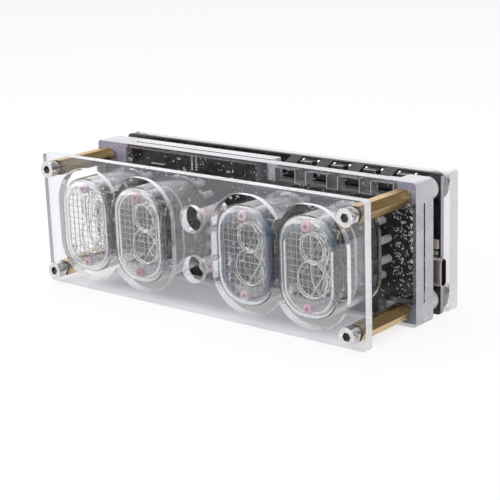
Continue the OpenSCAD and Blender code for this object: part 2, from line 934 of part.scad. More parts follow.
// Chip resistors and capacitors in rows
small_count = 9;
low_row = [-18, 6.8];
low_pitch = 3;
high_row = [-28, 39.4];
high_pitch = 4;
side_x = 62.6;
side_chip_z = 22.4;

module small_parts() {
    for (i = [0 : small_count - 1]) {
        color([0.7, 0.66, 0.58]) part_on_board(low_row[0] + i * low_pitch, low_row[1], 1.2, 2, 0.6);
        color([0.1, 0.1, 0.1]) part_on_board(high_row[0] + i * high_pitch, high_row[1], 2, 1.2, 0.5);
    }
    color([0.12, 0.12, 0.15]) part_on_board(side_x, side_chip_z, 2.6, 2.8, 1.2);
    color([0.7, 0.66, 0.58]) part_on_board(side_x, side_chip_z - 2.8, 2, 1.2, 0.8);
}

front_panel();
front_screws();
standoff_top_left();
standoff_top_right();
standoff_bottom_left();
standoff_bottom_right();
mid_frame_front();
tube_board();
mid_frame_rear();
tube_glass_1();
tube_glass_2();
tube_glass_3();
tube_glass_4();
anode_mesh_1();
anode_mesh_2();
anode_mesh_3();
anode_mesh_4();
numerals_1();
numerals_2();
numerals_3();
numerals_4();
ceramic_beads_1();
ceramic_beads_2();
ceramic_beads_3();
ceramic_beads_4();
tube_base_1();
tube_base_2();
tube_base_3();
tube_base_4();
tube_sockets();
colon_lamp_glass();
colon_lamp_electrodes();
backlight_leds();
board_header();
header_pins();
board_spacers();
main_board();
inlet_shell();
inlet_tongue();
switch_bodies();
switch_covers();
switch_domes();
button_1();
button_2();
button_3();
button_4();
optocouplers();
driver_chips();
microcontroller();
clock_chip();
coin_cell();
coin_cell_holder();
inductor();
storage_capacitor();
power_transistor();
small_parts();
rear_washers();
rear_cover();
rear_screws();
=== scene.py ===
"""Looks of a desk clock with four cold-cathode digit tubes between clear plates.

Lengths in this script are metres, as in the frame, and MM turns millimetres into metres.
X runs to the right, Y to the back and Z up.
"""

import json
import math
import random

import bmesh
import bpy
from mathutils import Matrix, Vector


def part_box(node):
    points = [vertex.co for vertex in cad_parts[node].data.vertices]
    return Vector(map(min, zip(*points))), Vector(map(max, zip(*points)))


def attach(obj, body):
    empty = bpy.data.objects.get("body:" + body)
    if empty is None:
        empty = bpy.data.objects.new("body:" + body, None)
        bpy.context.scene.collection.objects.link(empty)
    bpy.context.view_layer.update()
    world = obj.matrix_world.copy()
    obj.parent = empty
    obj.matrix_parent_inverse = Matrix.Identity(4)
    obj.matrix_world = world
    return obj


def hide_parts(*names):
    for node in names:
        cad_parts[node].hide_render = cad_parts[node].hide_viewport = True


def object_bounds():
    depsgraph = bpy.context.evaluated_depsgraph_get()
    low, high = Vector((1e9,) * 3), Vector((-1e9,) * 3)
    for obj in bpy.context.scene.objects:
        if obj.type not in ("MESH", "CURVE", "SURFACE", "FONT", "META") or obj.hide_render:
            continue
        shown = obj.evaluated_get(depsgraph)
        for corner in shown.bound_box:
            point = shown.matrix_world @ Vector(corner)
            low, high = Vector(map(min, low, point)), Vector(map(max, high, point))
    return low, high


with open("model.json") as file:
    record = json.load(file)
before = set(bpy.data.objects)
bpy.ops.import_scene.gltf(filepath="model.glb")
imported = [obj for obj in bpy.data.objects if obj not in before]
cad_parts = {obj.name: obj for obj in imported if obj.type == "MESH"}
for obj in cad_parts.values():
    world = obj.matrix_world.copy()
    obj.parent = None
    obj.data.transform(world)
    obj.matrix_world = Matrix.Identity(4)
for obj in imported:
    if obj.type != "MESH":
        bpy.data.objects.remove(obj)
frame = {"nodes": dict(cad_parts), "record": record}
cad_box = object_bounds()

MM = 0.001
BODY = "clock"
TUBES = (1, 2, 3, 4)
BUTTONS = (1, 2, 3, 4)


# ---------- node helpers ----------

def plug(tree, value, socket):
    """Links another node's output to a socket, or sets a plain value on it."""
    if isinstance(value, bpy.types.NodeSocket):
        tree.links.new(value, socket)
    else:
        socket.default_value = value


def fill(tree, node, **values):
    """Sets up a node. A key with a capital is an input, any other key is a setting."""
    for key, value in values.items():
        if key[0].islower():
            setattr(node, key, value)
        else:
            plug(tree, value, node.inputs[key.replace("_", " ")])
    return node


def add(tree, kind, **values):
    """New shader node."""
    return fill(tree, tree.nodes.new("ShaderNode" + kind), **values)


def grow(tree, kind, **values):
    """New geometry node."""
    return fill(tree, tree.nodes.new("GeometryNode" + kind), **values)


def calc(tree, operation, *values, kind="Math"):
    node = add(tree, kind, operation=operation)
    for socket, value in zip(node.inputs, values):
        plug(tree, value, socket)
    return node.outputs[0]


def between(tree, factor, a, b):
    """a where the factor is 0 and b where it is 1."""
    node = add(tree, "Mix")
    plug(tree, factor, node.inputs[0])
    plug(tree, a, node.inputs[2])
    plug(tree, b, node.inputs[3])
    return node.outputs[0]


def place_in(tree):
    """X, Y and Z of the place on the surface, in the piece's own frame."""
    return add(tree, "SeparateXYZ", Vector=add(tree, "TexCoord").outputs["Object"]).outputs


# ---------- camera, light and floor ----------

PHOTO_SIDE = 500
FOCAL_PIXELS = 1387.2
SENSOR = 36.0
CAMERA_AZIMUTH = 40.171
CAMERA_ELEVATION = 15.593
CAMERA_ROLL = -2.044
CAMERA_DISTANCE = 437.73 * MM
CAMERA_TARGET = Vector((6.545, -7.6, 16.607)) * MM

# What rays that fall on things get from the world, and what reflections see of the room
WORLD_LIGHT = 0.55
ROOM_GREY = 0.10
BRIGHT_SIDE = (-0.93, 0.12, 0.35)
ROOM_FADE = (-0.35, 0.45)

FLOOR_SIDE = 6.0
FLOOR_WHITE = 0.86
FLOOR_BLUENESS = 1.03
# Share of the floor that glows: seen by the camera, through glass and in reflections
GLOW_OPEN = 0.86
GLOW_THROUGH = 0.60
GLOW_MIRRORED = 0.7
# Painted shadow: how much darker the floor is painted under the clock, and where that begins to fade
# and ends
PAINTED_SHADOW_DEPTH = 0.68
SHADE_TO_ENDS = (40 * MM, 66 * MM)
SHADE_TO_FRONT = (-15 * MM, -29 * MM)
SHADE_TO_BACK = (18 * MM, 24 * MM)


def set_camera():
    azimuth = math.radians(CAMERA_AZIMUTH)
    elevation = math.radians(CAMERA_ELEVATION)
    roll = math.radians(CAMERA_ROLL)
    back = Vector((math.sin(azimuth) * math.cos(elevation),
                   -math.cos(azimuth) * math.cos(elevation),
                   math.sin(elevation)))
    right = (-back).cross(Vector((0, 0, 1))).normalized()
    up = right.cross(-back)
    image_x = right * math.cos(roll) + up * math.sin(roll)
    image_y = up * math.cos(roll) - right * math.sin(roll)
    data = bpy.data.cameras.new("camera")
    data.sensor_width = SENSOR
    data.lens = FOCAL_PIXELS * SENSOR / PHOTO_SIDE
    data.clip_start = 0.01
    data.clip_end = 50
    camera = bpy.data.objects.new("camera", data)
    turn = Matrix((image_x, image_y, back)).transposed()
    camera.matrix_world = Matrix.Translation(CAMERA_TARGET + back * CAMERA_DISTANCE) @ turn.to_4x4()
    bpy.context.scene.collection.objects.link(camera)
    bpy.context.scene.camera = camera


def set_world():
    """White behind the clock, and a greyer room to its right that only glossy things show."""
    world = bpy.data.worlds.new("studio")
    world.use_nodes = True
    tree = world.node_tree
    bpy.context.scene.world = world
    background = tree.nodes["Background"]
    path = add(tree, "LightPath").outputs
    seen = calc(tree, "MAXIMUM", path["Is Camera Ray"], path["Is Transmission Ray"])
    seen = calc(tree, "MAXIMUM", seen, path["Is Glossy Ray"])
    towards = add(tree, "VectorMath", operation="DOT_PRODUCT")
    plug(tree, add(tree, "TexCoord").outputs["Generated"], towards.inputs[0])
    plug(tree, BRIGHT_SIDE, towards.inputs[1])
    lit = add(tree, "MapRange", Value=towards.outputs["Value"], From_Min=ROOM_FADE[0],
              From_Max=ROOM_FADE[1], To_Min=ROOM_GREY, To_Max=1.0)
    shown = between(tree, path["Is Glossy Ray"], 1.0, lit.outputs[0])
    fill(tree, background, Color=(1, 1, 1, 1), Strength=between(tree, seen, WORLD_LIGHT, shown))


def soft_lamp(name, place, size, watts):
    """Rectangular lamp that faces the middle of the clock."""
    data = bpy.data.lights.new(name, "AREA")
    data.shape = "RECTANGLE"
    data.size, data.size_y = size
    data.energy = watts
    lamp = bpy.data.objects.new(name, data)
    lamp.location = place
    middle = Vector((0, 0, 0.02))
    lamp.rotation_euler = (middle - Vector(place)).to_track_quat("-Z", "Y").to_euler()
    bpy.context.scene.collection.objects.link(lamp)


def set_lamps():
    soft_lamp("top_light", (-0.15, 0.10, 0.75), (0.7, 0.5), 3.6)
    soft_lamp("left_light", (-0.75, -0.45, 0.40), (0.45, 0.5), 2.0)
    soft_lamp("front_light", (0.30, -0.80, 0.45), (0.5, 0.35), 1.6)


def painted_shadow_under_clock(tree):
    """Painted shadow: 1 on the floor between the front panel and the boards, fading out all round."""
    place = place_in(tree)
    shade = 1.0
    for distance, (full, none) in ((calc(tree, "ABSOLUTE", place["X"]), SHADE_TO_ENDS),
                                   (place["Y"], SHADE_TO_FRONT),
                                   (place["Y"], SHADE_TO_BACK)):
        fade = add(tree, "MapRange", interpolation_type="SMOOTHSTEP", Value=distance,
                   From_Min=full, From_Max=none, To_Min=1.0, To_Max=0.0)
        shade = calc(tree, "MULTIPLY", fade.outputs[0], shade)
    return shade


def set_floor():
    """Pale floor that shows white to the camera, takes the clock's shadow and has a painted shadow
    under the clock.
    """
    material = bpy.data.materials.new("white_floor")
    material.use_nodes = True
    tree = material.node_tree
    tree.nodes.clear()
    path = add(tree, "LightPath").outputs
    # The floor's colour and glow are dimmed under the clock: a painted shadow.
    light = calc(tree, "MULTIPLY_ADD", painted_shadow_under_clock(tree), -PAINTED_SHADOW_DEPTH, 1.0)
    grey = calc(tree, "MULTIPLY", light, FLOOR_WHITE)
    white = add(tree, "CombineColor", Red=grey, Green=grey,
                Blue=calc(tree, "MULTIPLY", grey, FLOOR_BLUENESS))
    open_glow = calc(tree, "MULTIPLY", light, GLOW_OPEN)
    through_glow = calc(tree, "MULTIPLY", light, GLOW_THROUGH)
    # A ray through glass counts as glossy too, so it is taken out of what is mirrored.
    mirrored = calc(tree, "SUBTRACT", path["Is Glossy Ray"], path["Is Transmission Ray"])
    share = calc(tree, "MULTIPLY", path["Is Camera Ray"], open_glow)
    share = calc(tree, "MULTIPLY_ADD", path["Is Transmission Ray"], through_glow, share)
    share = calc(tree, "MULTIPLY_ADD", calc(tree, "MAXIMUM", mirrored, 0), GLOW_MIRRORED, share)
    mix = add(tree, "MixShader", Fac=share)
    plug(tree, add(tree, "BsdfDiffuse", Color=white.outputs[0]).outputs[0], mix.inputs[1])
    plug(tree, add(tree, "Emission", Color=(1, 1, 1, 1), Strength=1.0).outputs[0], mix.inputs[2])
    add(tree, "OutputMaterial", Surface=mix.outputs[0])
    mesh = bpy.data.meshes.new("floor")
    half = FLOOR_SIDE / 2
    level = cad_box[0][2]
    corners = [(-half, -half, level), (half, -half, level), (half, half, level), (-half, half, level)]
    mesh.from_pydata(corners, [], [(0, 1, 2, 3)])
    mesh.materials.append(material)
    floor = bpy.data.objects.new("floor", mesh)
    bpy.context.scene.collection.objects.link(floor)


# ---------- finishes ----------

ACRYLIC_IOR = 1.49
GLASS_IOR = 1.5


def parts(material):
    return material.node_tree, material.node_tree.nodes["Principled BSDF"]


def finish(name):
    material = bpy.data.materials.new(name)
    material.use_nodes = True
    return material, *parts(material)


def noise(tree, size, stretch=(1, 1, 1), detail=3.0, roughness=0.55):
    """Noise whose features are about size millimetres across, drawn out by stretch."""
    place = add(tree, "TexCoord").outputs["Object"]
    scale = [1 / (size * MM * s) for s in stretch]
    mapped = add(tree, "Mapping", Vector=place, Scale=scale)
    field = add(tree, "TexNoise", Vector=mapped.outputs[0], Scale=1.0, Detail=detail,
                Roughness=roughness)
    return field.outputs["Fac"]


def ramp(tree, factor, stops):
    """Colour from a factor: stops are (position, colour or grey)."""
    node = add(tree, "ValToRGB", Fac=factor)
    points = node.color_ramp.elements
    while len(points) < len(stops):
        points.new(0.5)
    for point, (position, colour) in zip(points, stops):
        point.position = position
        point.color = (*colour, 1) if isinstance(colour, tuple) else (colour, colour, colour, 1)
    return node.outputs["Color"]


def blend(tree, field, low, high):
    """From low to high over the range that a noise field mostly keeps to."""
    return ramp(tree, field, [(0.3, low), (0.7, high)])


def relief(tree, height, depth):
    """Bump whose full range is depth millimetres."""
    return add(tree, "Bump", Height=height, Distance=depth * MM, Strength=1.0).outputs["Normal"]


def let_light_through(material, tint):
    """Rays from lamps pass a see-through finish straight, with its tint."""
    tree, shader = parts(material)
    mix = add(tree, "MixShader", Fac=add(tree, "LightPath").outputs["Is Shadow Ray"])
    plug(tree, shader.outputs[0], mix.inputs[1])
    plug(tree, add(tree, "BsdfTransparent", Color=(*tint, 1)).outputs[0], mix.inputs[2])
    plug(tree, mix.outputs[0], tree.nodes["Material Output"].inputs["Surface"])


def glassy(name, colour, clearness, ior, gloss, tint, ripple, shine=0.5):
    """See-through finish: gloss is a range of roughness over fine handling marks.

    ripple is the size in mm, the detail and the depth in mm of the waves in the surface.
    """
    material, tree, shader = finish(name)
    size, detail, depth = ripple
    marks = ramp(tree, noise(tree, 9, detail=5), [(0.35, gloss[0]), (0.75, gloss[1])])
    fill(tree, shader, Base_Color=(*colour, 1), Transmission_Weight=clearness, IOR=ior,
         Specular_IOR_Level=shine, Roughness=marks,
         Normal=relief(tree, noise(tree, size, detail=detail), depth))
    let_light_through(material, tint)
    return material


def acrylic_edge(name, dark, light, frost):
    """Cut edge: pale, with soft clouds and the fine steps that the cutter leaves across it."""
    material, tree, shader = finish(name)
    cloud = noise(tree, 9, stretch=(2.5, 3.5, 0.8), detail=0, roughness=0.4)
    steps = noise(tree, 0.9, stretch=(1, 40, 1), detail=0)
    fill(tree, shader, Base_Color=ramp(tree, cloud, [(0.25, dark), (0.75, light)]),
         Transmission_Weight=1 - frost, IOR=ACRYLIC_IOR,
         Roughness=blend(tree, noise(tree, 6.0), 0.24, 0.32), Normal=relief(tree, steps, 0.0015))
    let_light_through(material, (0.88, 0.88, 0.9))
    return material


# How much paler the shoulder band is painted: a painted highlight
SHOULDER_PAINTED_SHEEN = 0.20


def bulb_glass():
    """Clear glass with a painted highlight: its rounded shoulder is painted paler above and below,
    where it would take the light.
    """
    material = glassy("bulb_glass", (0.965, 0.965, 0.975), 1.0, GLASS_IOR, (0.0, 0.02),
                      (0.95, 0.955, 0.96), ripple=(7, 1, 0.04), shine=0.42)
    tree, shader = parts(material)
    low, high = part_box("tube_glass_1")
    place = place_in(tree)
    near = add(tree, "MapRange", Value=place["Y"], From_Min=low.y + 0.5 * MM, From_Max=low.y + 1.1 * MM)
    far = add(tree, "MapRange", Value=place["Y"], From_Min=low.y + 3.2 * MM, From_Max=low.y + 2.2 * MM)
    above = calc(tree, "ABSOLUTE", calc(tree, "SUBTRACT", place["Z"], (low.z + high.z) / 2))
    ends = add(tree, "MapRange", Value=above, From_Min=8 * MM, From_Max=13.5 * MM, To_Min=0.12)
    sheen_band = calc(tree, "MULTIPLY", near.outputs[0],
                calc(tree, "MULTIPLY", far.outputs[0], ends.outputs[0]))
    # Less clear, paler glass in the band: a painted highlight.
    fill(tree, shader, Transmission_Weight=calc(tree, "MULTIPLY_ADD", sheen_band, -SHOULDER_PAINTED_SHEEN, 1.0))
    return material


def metal(name, dark, light, gloss, grain=1.2, stretch=(1, 1, 1), depth=0.004):
    """Metal with a clouded colour and a fine grain."""
    material, tree, shader = finish(name)
    field = noise(tree, grain, stretch=stretch, detail=4)
    fill(tree, shader, Metallic=1.0, Base_Color=blend(tree, field, dark, light),
         Roughness=blend(tree, field, gloss[1], gloss[0]),
         Normal=relief(tree, noise(tree, grain / 3, stretch=stretch), depth))
    return material


def plastic(name, dark, light, gloss, grain=0.4, depth=0.01, cloud=2.5):
    """Moulded plastic, paint or lacquer with a faint cloud and a fine skin."""
    material, tree, shader = finish(name)
    fill(tree, shader, Base_Color=blend(tree, noise(tree, cloud), dark, light),
         Roughness=blend(tree, noise(tree, cloud / 2), *gloss),
         Normal=relief(tree, noise(tree, grain), depth))
    return material


def painted_reflection_wall():
    """Wall of a window inside a frame, painted dark and half see-through: a painted reflection of the
    boards and the gap.
    """
    material = plastic("painted_reflection_wall", (0.08, 0.08, 0.09), (0.17, 0.17, 0.18), (0.2, 0.35),
                       grain=3, depth=0.004, cloud=7)
    fill(*parts(material), Specular_IOR_Level=0.15, Alpha=0.5)
    return material


# Stretch of X, as shares from the left to the right reach, and the colour of the beads there
BEAD_REACH = 55 * MM
BEAD_HUES = ((0.0, 0.18, (0.56, 0.31, 0.47)), (0.22, 0.42, (0.36, 0.13, 0.12)),
             (0.5, 0.76, (0.66, 0.44, 0.48)), (0.8, 1.0, (0.64, 0.30, 0.44)))


def pink_ceramic():
    """Fired beads, rose in the outer tubes and closer to salmon in the second."""
    material, tree, shader = finish("pink_ceramic")
    across = add(tree, "MapRange", Value=place_in(tree)["X"], From_Min=-BEAD_REACH,
                 From_Max=BEAD_REACH)
    stops = [(end, colour) for *ends, colour in BEAD_HUES for end in ends]
    speckle = ramp(tree, noise(tree, 0.7, detail=4), [(0.35, 0.72), (0.65, 1.0)])
    tint = add(tree, "Mix", data_type="RGBA", blend_type="MULTIPLY")
    tint.inputs[0].default_value = 1.0
    plug(tree, ramp(tree, across.outputs[0], stops), tint.inputs[6])
    plug(tree, speckle, tint.inputs[7])
    fill(tree, shader, Base_Color=tint.outputs[2], Roughness=0.32, Subsurface_Weight=0.15,
         Subsurface_Radius=(0.8 * MM, 0.4 * MM, 0.4 * MM),
         Normal=relief(tree, noise(tree, 0.35), 0.02))
    return material


TRACK_PITCH = (2.2, 1.5)


def solder_mask():
    """Black lacquer over copper: tracks show as faint raised lines."""
    material, tree, shader = finish("solder_mask")
    place = add(tree, "TexCoord").outputs["Object"]
    scaled = add(tree, "Mapping", Vector=place,
                 Scale=(1 / (TRACK_PITCH[0] * MM), 0, 1 / (TRACK_PITCH[1] * MM)))
    cells = add(tree, "TexVoronoi", Vector=scaled.outputs[0], Scale=1.0, distance="MANHATTAN",
                feature="F1")
    copper = ramp(tree, cells.outputs["Distance"], [(0.42, 0.0), (0.48, 1.0), (0.6, 1.0), (0.66, 0.0)])
    colour = ramp(tree, copper, [(0.0, (0.012, 0.012, 0.014)), (1.0, (0.03, 0.03, 0.033))])
    fill(tree, shader, Base_Color=colour, Roughness=blend(tree, noise(tree, 4), 0.22, 0.36),
         Normal=relief(tree, copper, 0.03))
    return material


FINISHES = {
    # clear plates
    "face": glassy("acrylic_face", (0.90, 0.90, 0.94), 0.967, ACRYLIC_IOR, (0.01, 0.05),
                   (0.93, 0.93, 0.96), ripple=(30, 1, 0.03), shine=0.33),
    "wall": glassy("polished_wall", (0.94, 0.94, 0.96), 0.74, ACRYLIC_IOR, (0.05, 0.14),
                   (0.95, 0.95, 0.97), ripple=(5, 1, 0.03)),
    # Dark, half see-through window walls: painted reflection.
    "reflection_film": painted_reflection_wall(),
    "edge": acrylic_edge("acrylic_edge", (0.68, 0.68, 0.71), (0.82, 0.82, 0.85), 0.74),
    "bright_edge": acrylic_edge("thick_acrylic_edge", (0.92, 0.92, 0.94), (0.98, 0.98, 0.99), 0.84),
    # Near-white opaque roundings on the plate edges: painted highlights.
    "highlight_arris": plastic("painted_highlight_arris", (0.86, 0.86, 0.88), (0.96, 0.96, 0.98), (0.12, 0.2),
                     grain=3, depth=0.002, cloud=8),
    # glass
    "bulb": bulb_glass(),
    "lamp": glassy("lamp_glass", (0.92, 0.90, 0.90), 0.86, 1.52, (0.0, 0.03), (0.9, 0.9, 0.9),
                   ripple=(2.2, 2, 0.35)),
    "base": glassy("pressed_glass", (0.48, 0.46, 0.42), 0.96, GLASS_IOR, (0.02, 0.10),
                   (0.6, 0.6, 0.57), ripple=(2.5, 3, 0.12)),
    "washer": glassy("clear_washer", (0.92, 0.92, 0.93), 0.80, GLASS_IOR, (0.06, 0.16),
                     (0.85, 0.86, 0.88), ripple=(1.5, 3, 0.05)),
    # metals
    "brass": metal("drawn_brass", (0.52, 0.34, 0.13), (0.78, 0.56, 0.27), (0.20, 0.34),
                   grain=0.9, stretch=(1, 14, 1)),
    "steel": metal("plated_steel", (0.62, 0.61, 0.59), (0.82, 0.81, 0.79), (0.12, 0.26)),
    # Near-black copy of the steel for the faces of the switch covers: painted shade.
    "painted_shade": metal("painted_shade_steel", (0.07, 0.07, 0.07), (0.15, 0.15, 0.15), (0.25, 0.4)),
    # Darker steel for the insides of the screw sockets: painted shade.
    "socket": metal("painted_socket_shade", (0.14, 0.14, 0.13), (0.42, 0.41, 0.39), (0.25, 0.4)),
    "wire": metal("nickel_wire", (0.74, 0.73, 0.71), (0.92, 0.91, 0.89), (0.18, 0.34), grain=0.5),
    # Darker copy of the nickel wire for the numerals not listed as bright, the eyes, the posts and the
    # rear screen: painted shade.
    "dim": metal("painted_shade_wire", (0.20, 0.20, 0.195), (0.40, 0.39, 0.38), (0.28, 0.44), grain=0.5),
    "grid": metal("grid_wire", (0.34, 0.34, 0.35), (0.54, 0.54, 0.55), (0.25, 0.42), grain=0.5),
    "rim": metal("rim_nickel", (0.62, 0.61, 0.60), (0.82, 0.81, 0.80), (0.2, 0.34), grain=0.8),
    "tin": metal("solder_tin", (0.58, 0.58, 0.58), (0.86, 0.86, 0.87), (0.16, 0.38), grain=0.4,
                 depth=0.02),
    "gold": metal("gold_plate", (0.66, 0.47, 0.16), (0.84, 0.65, 0.28), (0.18, 0.30), grain=0.5),
    "can": metal("stamped_steel", (0.58, 0.49, 0.45), (0.74, 0.65, 0.61), (0.34, 0.5),
                 grain=0.7, stretch=(5, 1, 1)),
    "cell": metal("cell_steel", (0.60, 0.60, 0.60), (0.78, 0.78, 0.78), (0.22, 0.34)),
    # ceramics and lacquers
    "ceramic": pink_ceramic(),
    # Paler copy of the bead ceramic for the stacks along the posts: painted light from above.
    "stack": plastic("painted_lit_ceramic", (0.50, 0.44, 0.52), (0.72, 0.67, 0.74), (0.22, 0.36),
                     grain=0.35, cloud=0.9),
    "coating": plastic("lamp_coating", (0.55, 0.22, 0.20), (0.75, 0.40, 0.36), (0.3, 0.45)),
    "pale_chip": plastic("capacitor_ceramic", (0.40, 0.34, 0.26), (0.62, 0.56, 0.47), (0.4, 0.55)),
    "ferrite": plastic("ferrite", (0.045, 0.045, 0.048), (0.10, 0.10, 0.10), (0.5, 0.7), grain=0.25),
    "blue": plastic("blue_lacquer", (0.008, 0.028, 0.075), (0.035, 0.075, 0.16), (0.3, 0.42), cloud=4),
    "teal": plastic("teal_lacquer", (0.006, 0.035, 0.06), (0.06, 0.14, 0.18), (0.3, 0.42), cloud=3),
    # boards
    "mask": solder_mask(),
    "laminate": plastic("board_laminate", (0.035, 0.035, 0.03), (0.07, 0.068, 0.058), (0.5, 0.7),
                        grain=0.15, cloud=0.6),
    # Paler copy of the laminate for the boards' right-hand edges: painted light.
    "painted_lit_laminate": plastic("painted_lit_laminate", (0.36, 0.37, 0.39), (0.50, 0.51, 0.53), (0.5, 0.7),
                             grain=0.15, cloud=0.6),
    # plastics
    "black": plastic("black_plastic", (0.012, 0.012, 0.013), (0.028, 0.028, 0.03), (0.30, 0.45)),
    "mould": plastic("chip_mould", (0.009, 0.009, 0.010), (0.022, 0.022, 0.024), (0.5, 0.66),
                     grain=0.12, depth=0.012),
    "nylon": plastic("white_nylon", (0.70, 0.70, 0.70), (0.84, 0.84, 0.83), (0.38, 0.52)),
    "sleeve_white": plastic("pin_sleeve", (0.52, 0.52, 0.53), (0.80, 0.80, 0.81), (0.08, 0.16),
                            grain=1.5, cloud=1.2),
    "sleeve": plastic("capacitor_sleeve", (0.015, 0.018, 0.045), (0.03, 0.035, 0.07), (0.25, 0.35)),
    "lens": plastic("lamp_lens", (0.72, 0.76, 0.82), (0.9, 0.92, 0.95), (0.1, 0.2)),
}


# ---------- ways to make a piece ----------

def new_piece(name, mesh):
    piece = bpy.data.objects.new(name, mesh)
    bpy.context.scene.collection.objects.link(piece)
    return piece


def smooth_by_angle(mesh, degrees=32):
    mesh.polygons.foreach_set("use_smooth", [True] * len(mesh.polygons))
    mesh.set_sharp_from_angle(angle=math.radians(degrees))


def body_of_node(node):
    for body, members in frame["record"]["behaviour"]["bodies"].items():
        if node in members:
            return body
    return BODY


def dressed(node, finishes, choose=None, bevel=0.12, steps=2, trim=-1):
    """Copy of a CAD node with rounded edges, which takes its place.

    choose(centre, normal) gives the number of the finish for a face, trim the one of the roundings.
    """
    source = frame["nodes"][node]
    form = bmesh.new()
    form.from_mesh(source.data)
    bmesh.ops.remove_doubles(form, verts=form.verts, dist=0.002 * MM)
    bmesh.ops.dissolve_limit(form, angle_limit=math.radians(0.5), verts=form.verts,
                             edges=form.edges, delimit={"NORMAL"})
    for face in form.faces:
        face.material_index = choose(face.calc_center_median(), face.normal) if choose else 0
    mesh = bpy.data.meshes.new(node + "_dressed")
    form.to_mesh(mesh)
    form.free()
    for layer in [a for a in mesh.attributes if a.name == "custom_normal"]:
        mesh.attributes.remove(layer)
    for key in finishes:
        mesh.materials.append(FINISHES[key])
    smooth_by_angle(mesh)
    piece = new_piece(node + "_dressed", mesh)
    if bevel:
        rounding = piece.modifiers.new("edges", "BEVEL")
        rounding.width = bevel * MM
        rounding.segments = steps
        rounding.limit_method = "ANGLE"
        rounding.angle_limit = math.radians(35)
        rounding.harden_normals = True
        rounding.material = trim
    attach(piece, body_of_node(node))
    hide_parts(node)


def finished(name, form, finishes, node=None):
    """Piece from a bmesh, which rides the clock's body and may stand for a CAD node."""
    bmesh.ops.recalc_face_normals(form, faces=form.faces)
    mesh = bpy.data.meshes.new(name)
    form.to_mesh(mesh)
    form.free()
    for key in finishes:
        mesh.materials.append(FINISHES[key])
    smooth_by_angle(mesh)
    piece = new_piece(name, mesh)
    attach(piece, BODY)
    if node:
        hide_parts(node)


def rounded_outline(width, height, radius, steps=12):
    """Points round a rectangle with round corners, centred, in the XZ plane."""
    points = []
    for corner, (sx, sz) in enumerate(((1, 1), (-1, 1), (-1, -1), (1, -1))):
        for k in range(steps + 1):
            angle = math.radians(90 * (corner + k / steps))
            points.append((sx * (width / 2 - radius) + radius * math.cos(angle),
                           sz * (height / 2 - radius) + radius * math.sin(angle)))
    return points


def box_in_mm(node):
    low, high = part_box(node)
    return low / MM, high / MM


def placed(centre, depth, outline):
    """Points in the frame at one depth, from (x, z) in mm about a centre."""
    return [Vector((centre.x + x * MM, depth, centre.z + z * MM)) for x, z in outline]


def ring_at(form, centre, depth, outline):
    return [form.verts.new(point) for point in placed(centre, depth, outline)]


def loft(form, rings, closed=True):
    """Quads between rings of vertices with equal counts."""
    count = len(rings[0])
    faces = []
    for lower, upper in zip(rings, rings[1:]):
        for k in range(count if closed else count - 1):
            faces.append(form.faces.new((lower[k], lower[(k + 1) % count], upper[(k + 1) % count],
                                         upper[k])))
    return faces


def lathe(form, centre, profile, sides=32, material=0):
    """Turned shape about an axis along Y: profile is (radius, y) and centre (x, z), in mm."""
    rings = []
    for radius, y in profile:
        reach = max(radius, 0.0005)
        turns = [2 * math.pi * k / sides for k in range(sides)]
        rings.append([form.verts.new(((centre[0] + reach * math.cos(t)) * MM, y * MM,
                                      (centre[1] + reach * math.sin(t)) * MM)) for t in turns])
    for face in loft(form, rings):
        face.material_index = material


# Geometry Nodes for what repeats

def node_tree(name, sizes):
    """Empty tree with a geometry input and output, and a named input for each size."""
    tree = bpy.data.node_groups.new(name, "GeometryNodeTree")
    tree.interface.new_socket("Geometry", in_out="INPUT", socket_type="NodeSocketGeometry")
    for label, kind in sizes:
        tree.interface.new_socket(label, in_out="INPUT", socket_type="NodeSocket" + kind)
    tree.interface.new_socket("Finish", in_out="INPUT", socket_type="NodeSocketMaterial")
    tree.interface.new_socket("Geometry", in_out="OUTPUT", socket_type="NodeSocketGeometry")
    return tree, tree.nodes.new("NodeGroupInput").outputs


def close_tree(tree, given, last):
    """Ends a tree with Realize Instances and Set Material."""
    real = grow(tree, "RealizeInstances", Geometry=last)
    coat = grow(tree, "SetMaterial", Geometry=real.outputs[0], Material=given["Finish"])
    plug(tree, coat.outputs[0], tree.nodes.new("NodeGroupOutput").inputs[0])
    return tree


def wire_tree():
    """Round wire along every edge of the mesh."""
    tree, given = node_tree("wires", [("Radius", "Float"), ("Sides", "Int")])
    path = grow(tree, "MeshToCurve", Mesh=given["Geometry"])
    ring = grow(tree, "CurvePrimitiveCircle", Radius=given["Radius"], Resolution=given["Sides"])
    sweep = grow(tree, "CurveToMesh", Curve=path.outputs[0], Profile_Curve=ring.outputs[0],
                 Fill_Caps=True)
    smooth = grow(tree, "SetShadeSmooth", Geometry=sweep.outputs[0])
    return close_tree(tree, given, smooth.outputs[0])


def dot_tree():
    """Flattened bead of solder on every point of the mesh."""
    tree, given = node_tree("dots", [("Size", "Vector")])
    ball = grow(tree, "MeshUVSphere", Segments=8, Rings=6, Radius=1.0)
    smooth = grow(tree, "SetShadeSmooth", Geometry=ball.outputs[0])
    spread = grow(tree, "InstanceOnPoints", Points=given["Geometry"], Instance=smooth.outputs[0],
                  Scale=given["Size"])
    return close_tree(tree, given, spread.outputs[0])


def brick_tree():
    """Small block with broken edges on every point: the hull of three crossed blocks."""
    tree, given = node_tree("bricks", [("Size", "Vector"), ("Chamfer", "Float")])
    crossed = grow(tree, "JoinGeometry")
    for full_axis in "XYZ":
        off = add(tree, "CombineXYZ", **dict.fromkeys("XYZ".replace(full_axis, ""), given["Chamfer"]))
        size = calc(tree, "SUBTRACT", given["Size"], off.outputs[0], kind="VectorMath")
        plug(tree, grow(tree, "MeshCube", Size=size).outputs[0], crossed.inputs[0])
    hull = grow(tree, "ConvexHull", Geometry=crossed.outputs[0])
    spread = grow(tree, "InstanceOnPoints", Points=given["Geometry"], Instance=hull.outputs[0])
    return close_tree(tree, given, spread.outputs[0])


TREES = {"wires": wire_tree(), "dots": dot_tree(), "bricks": brick_tree()}


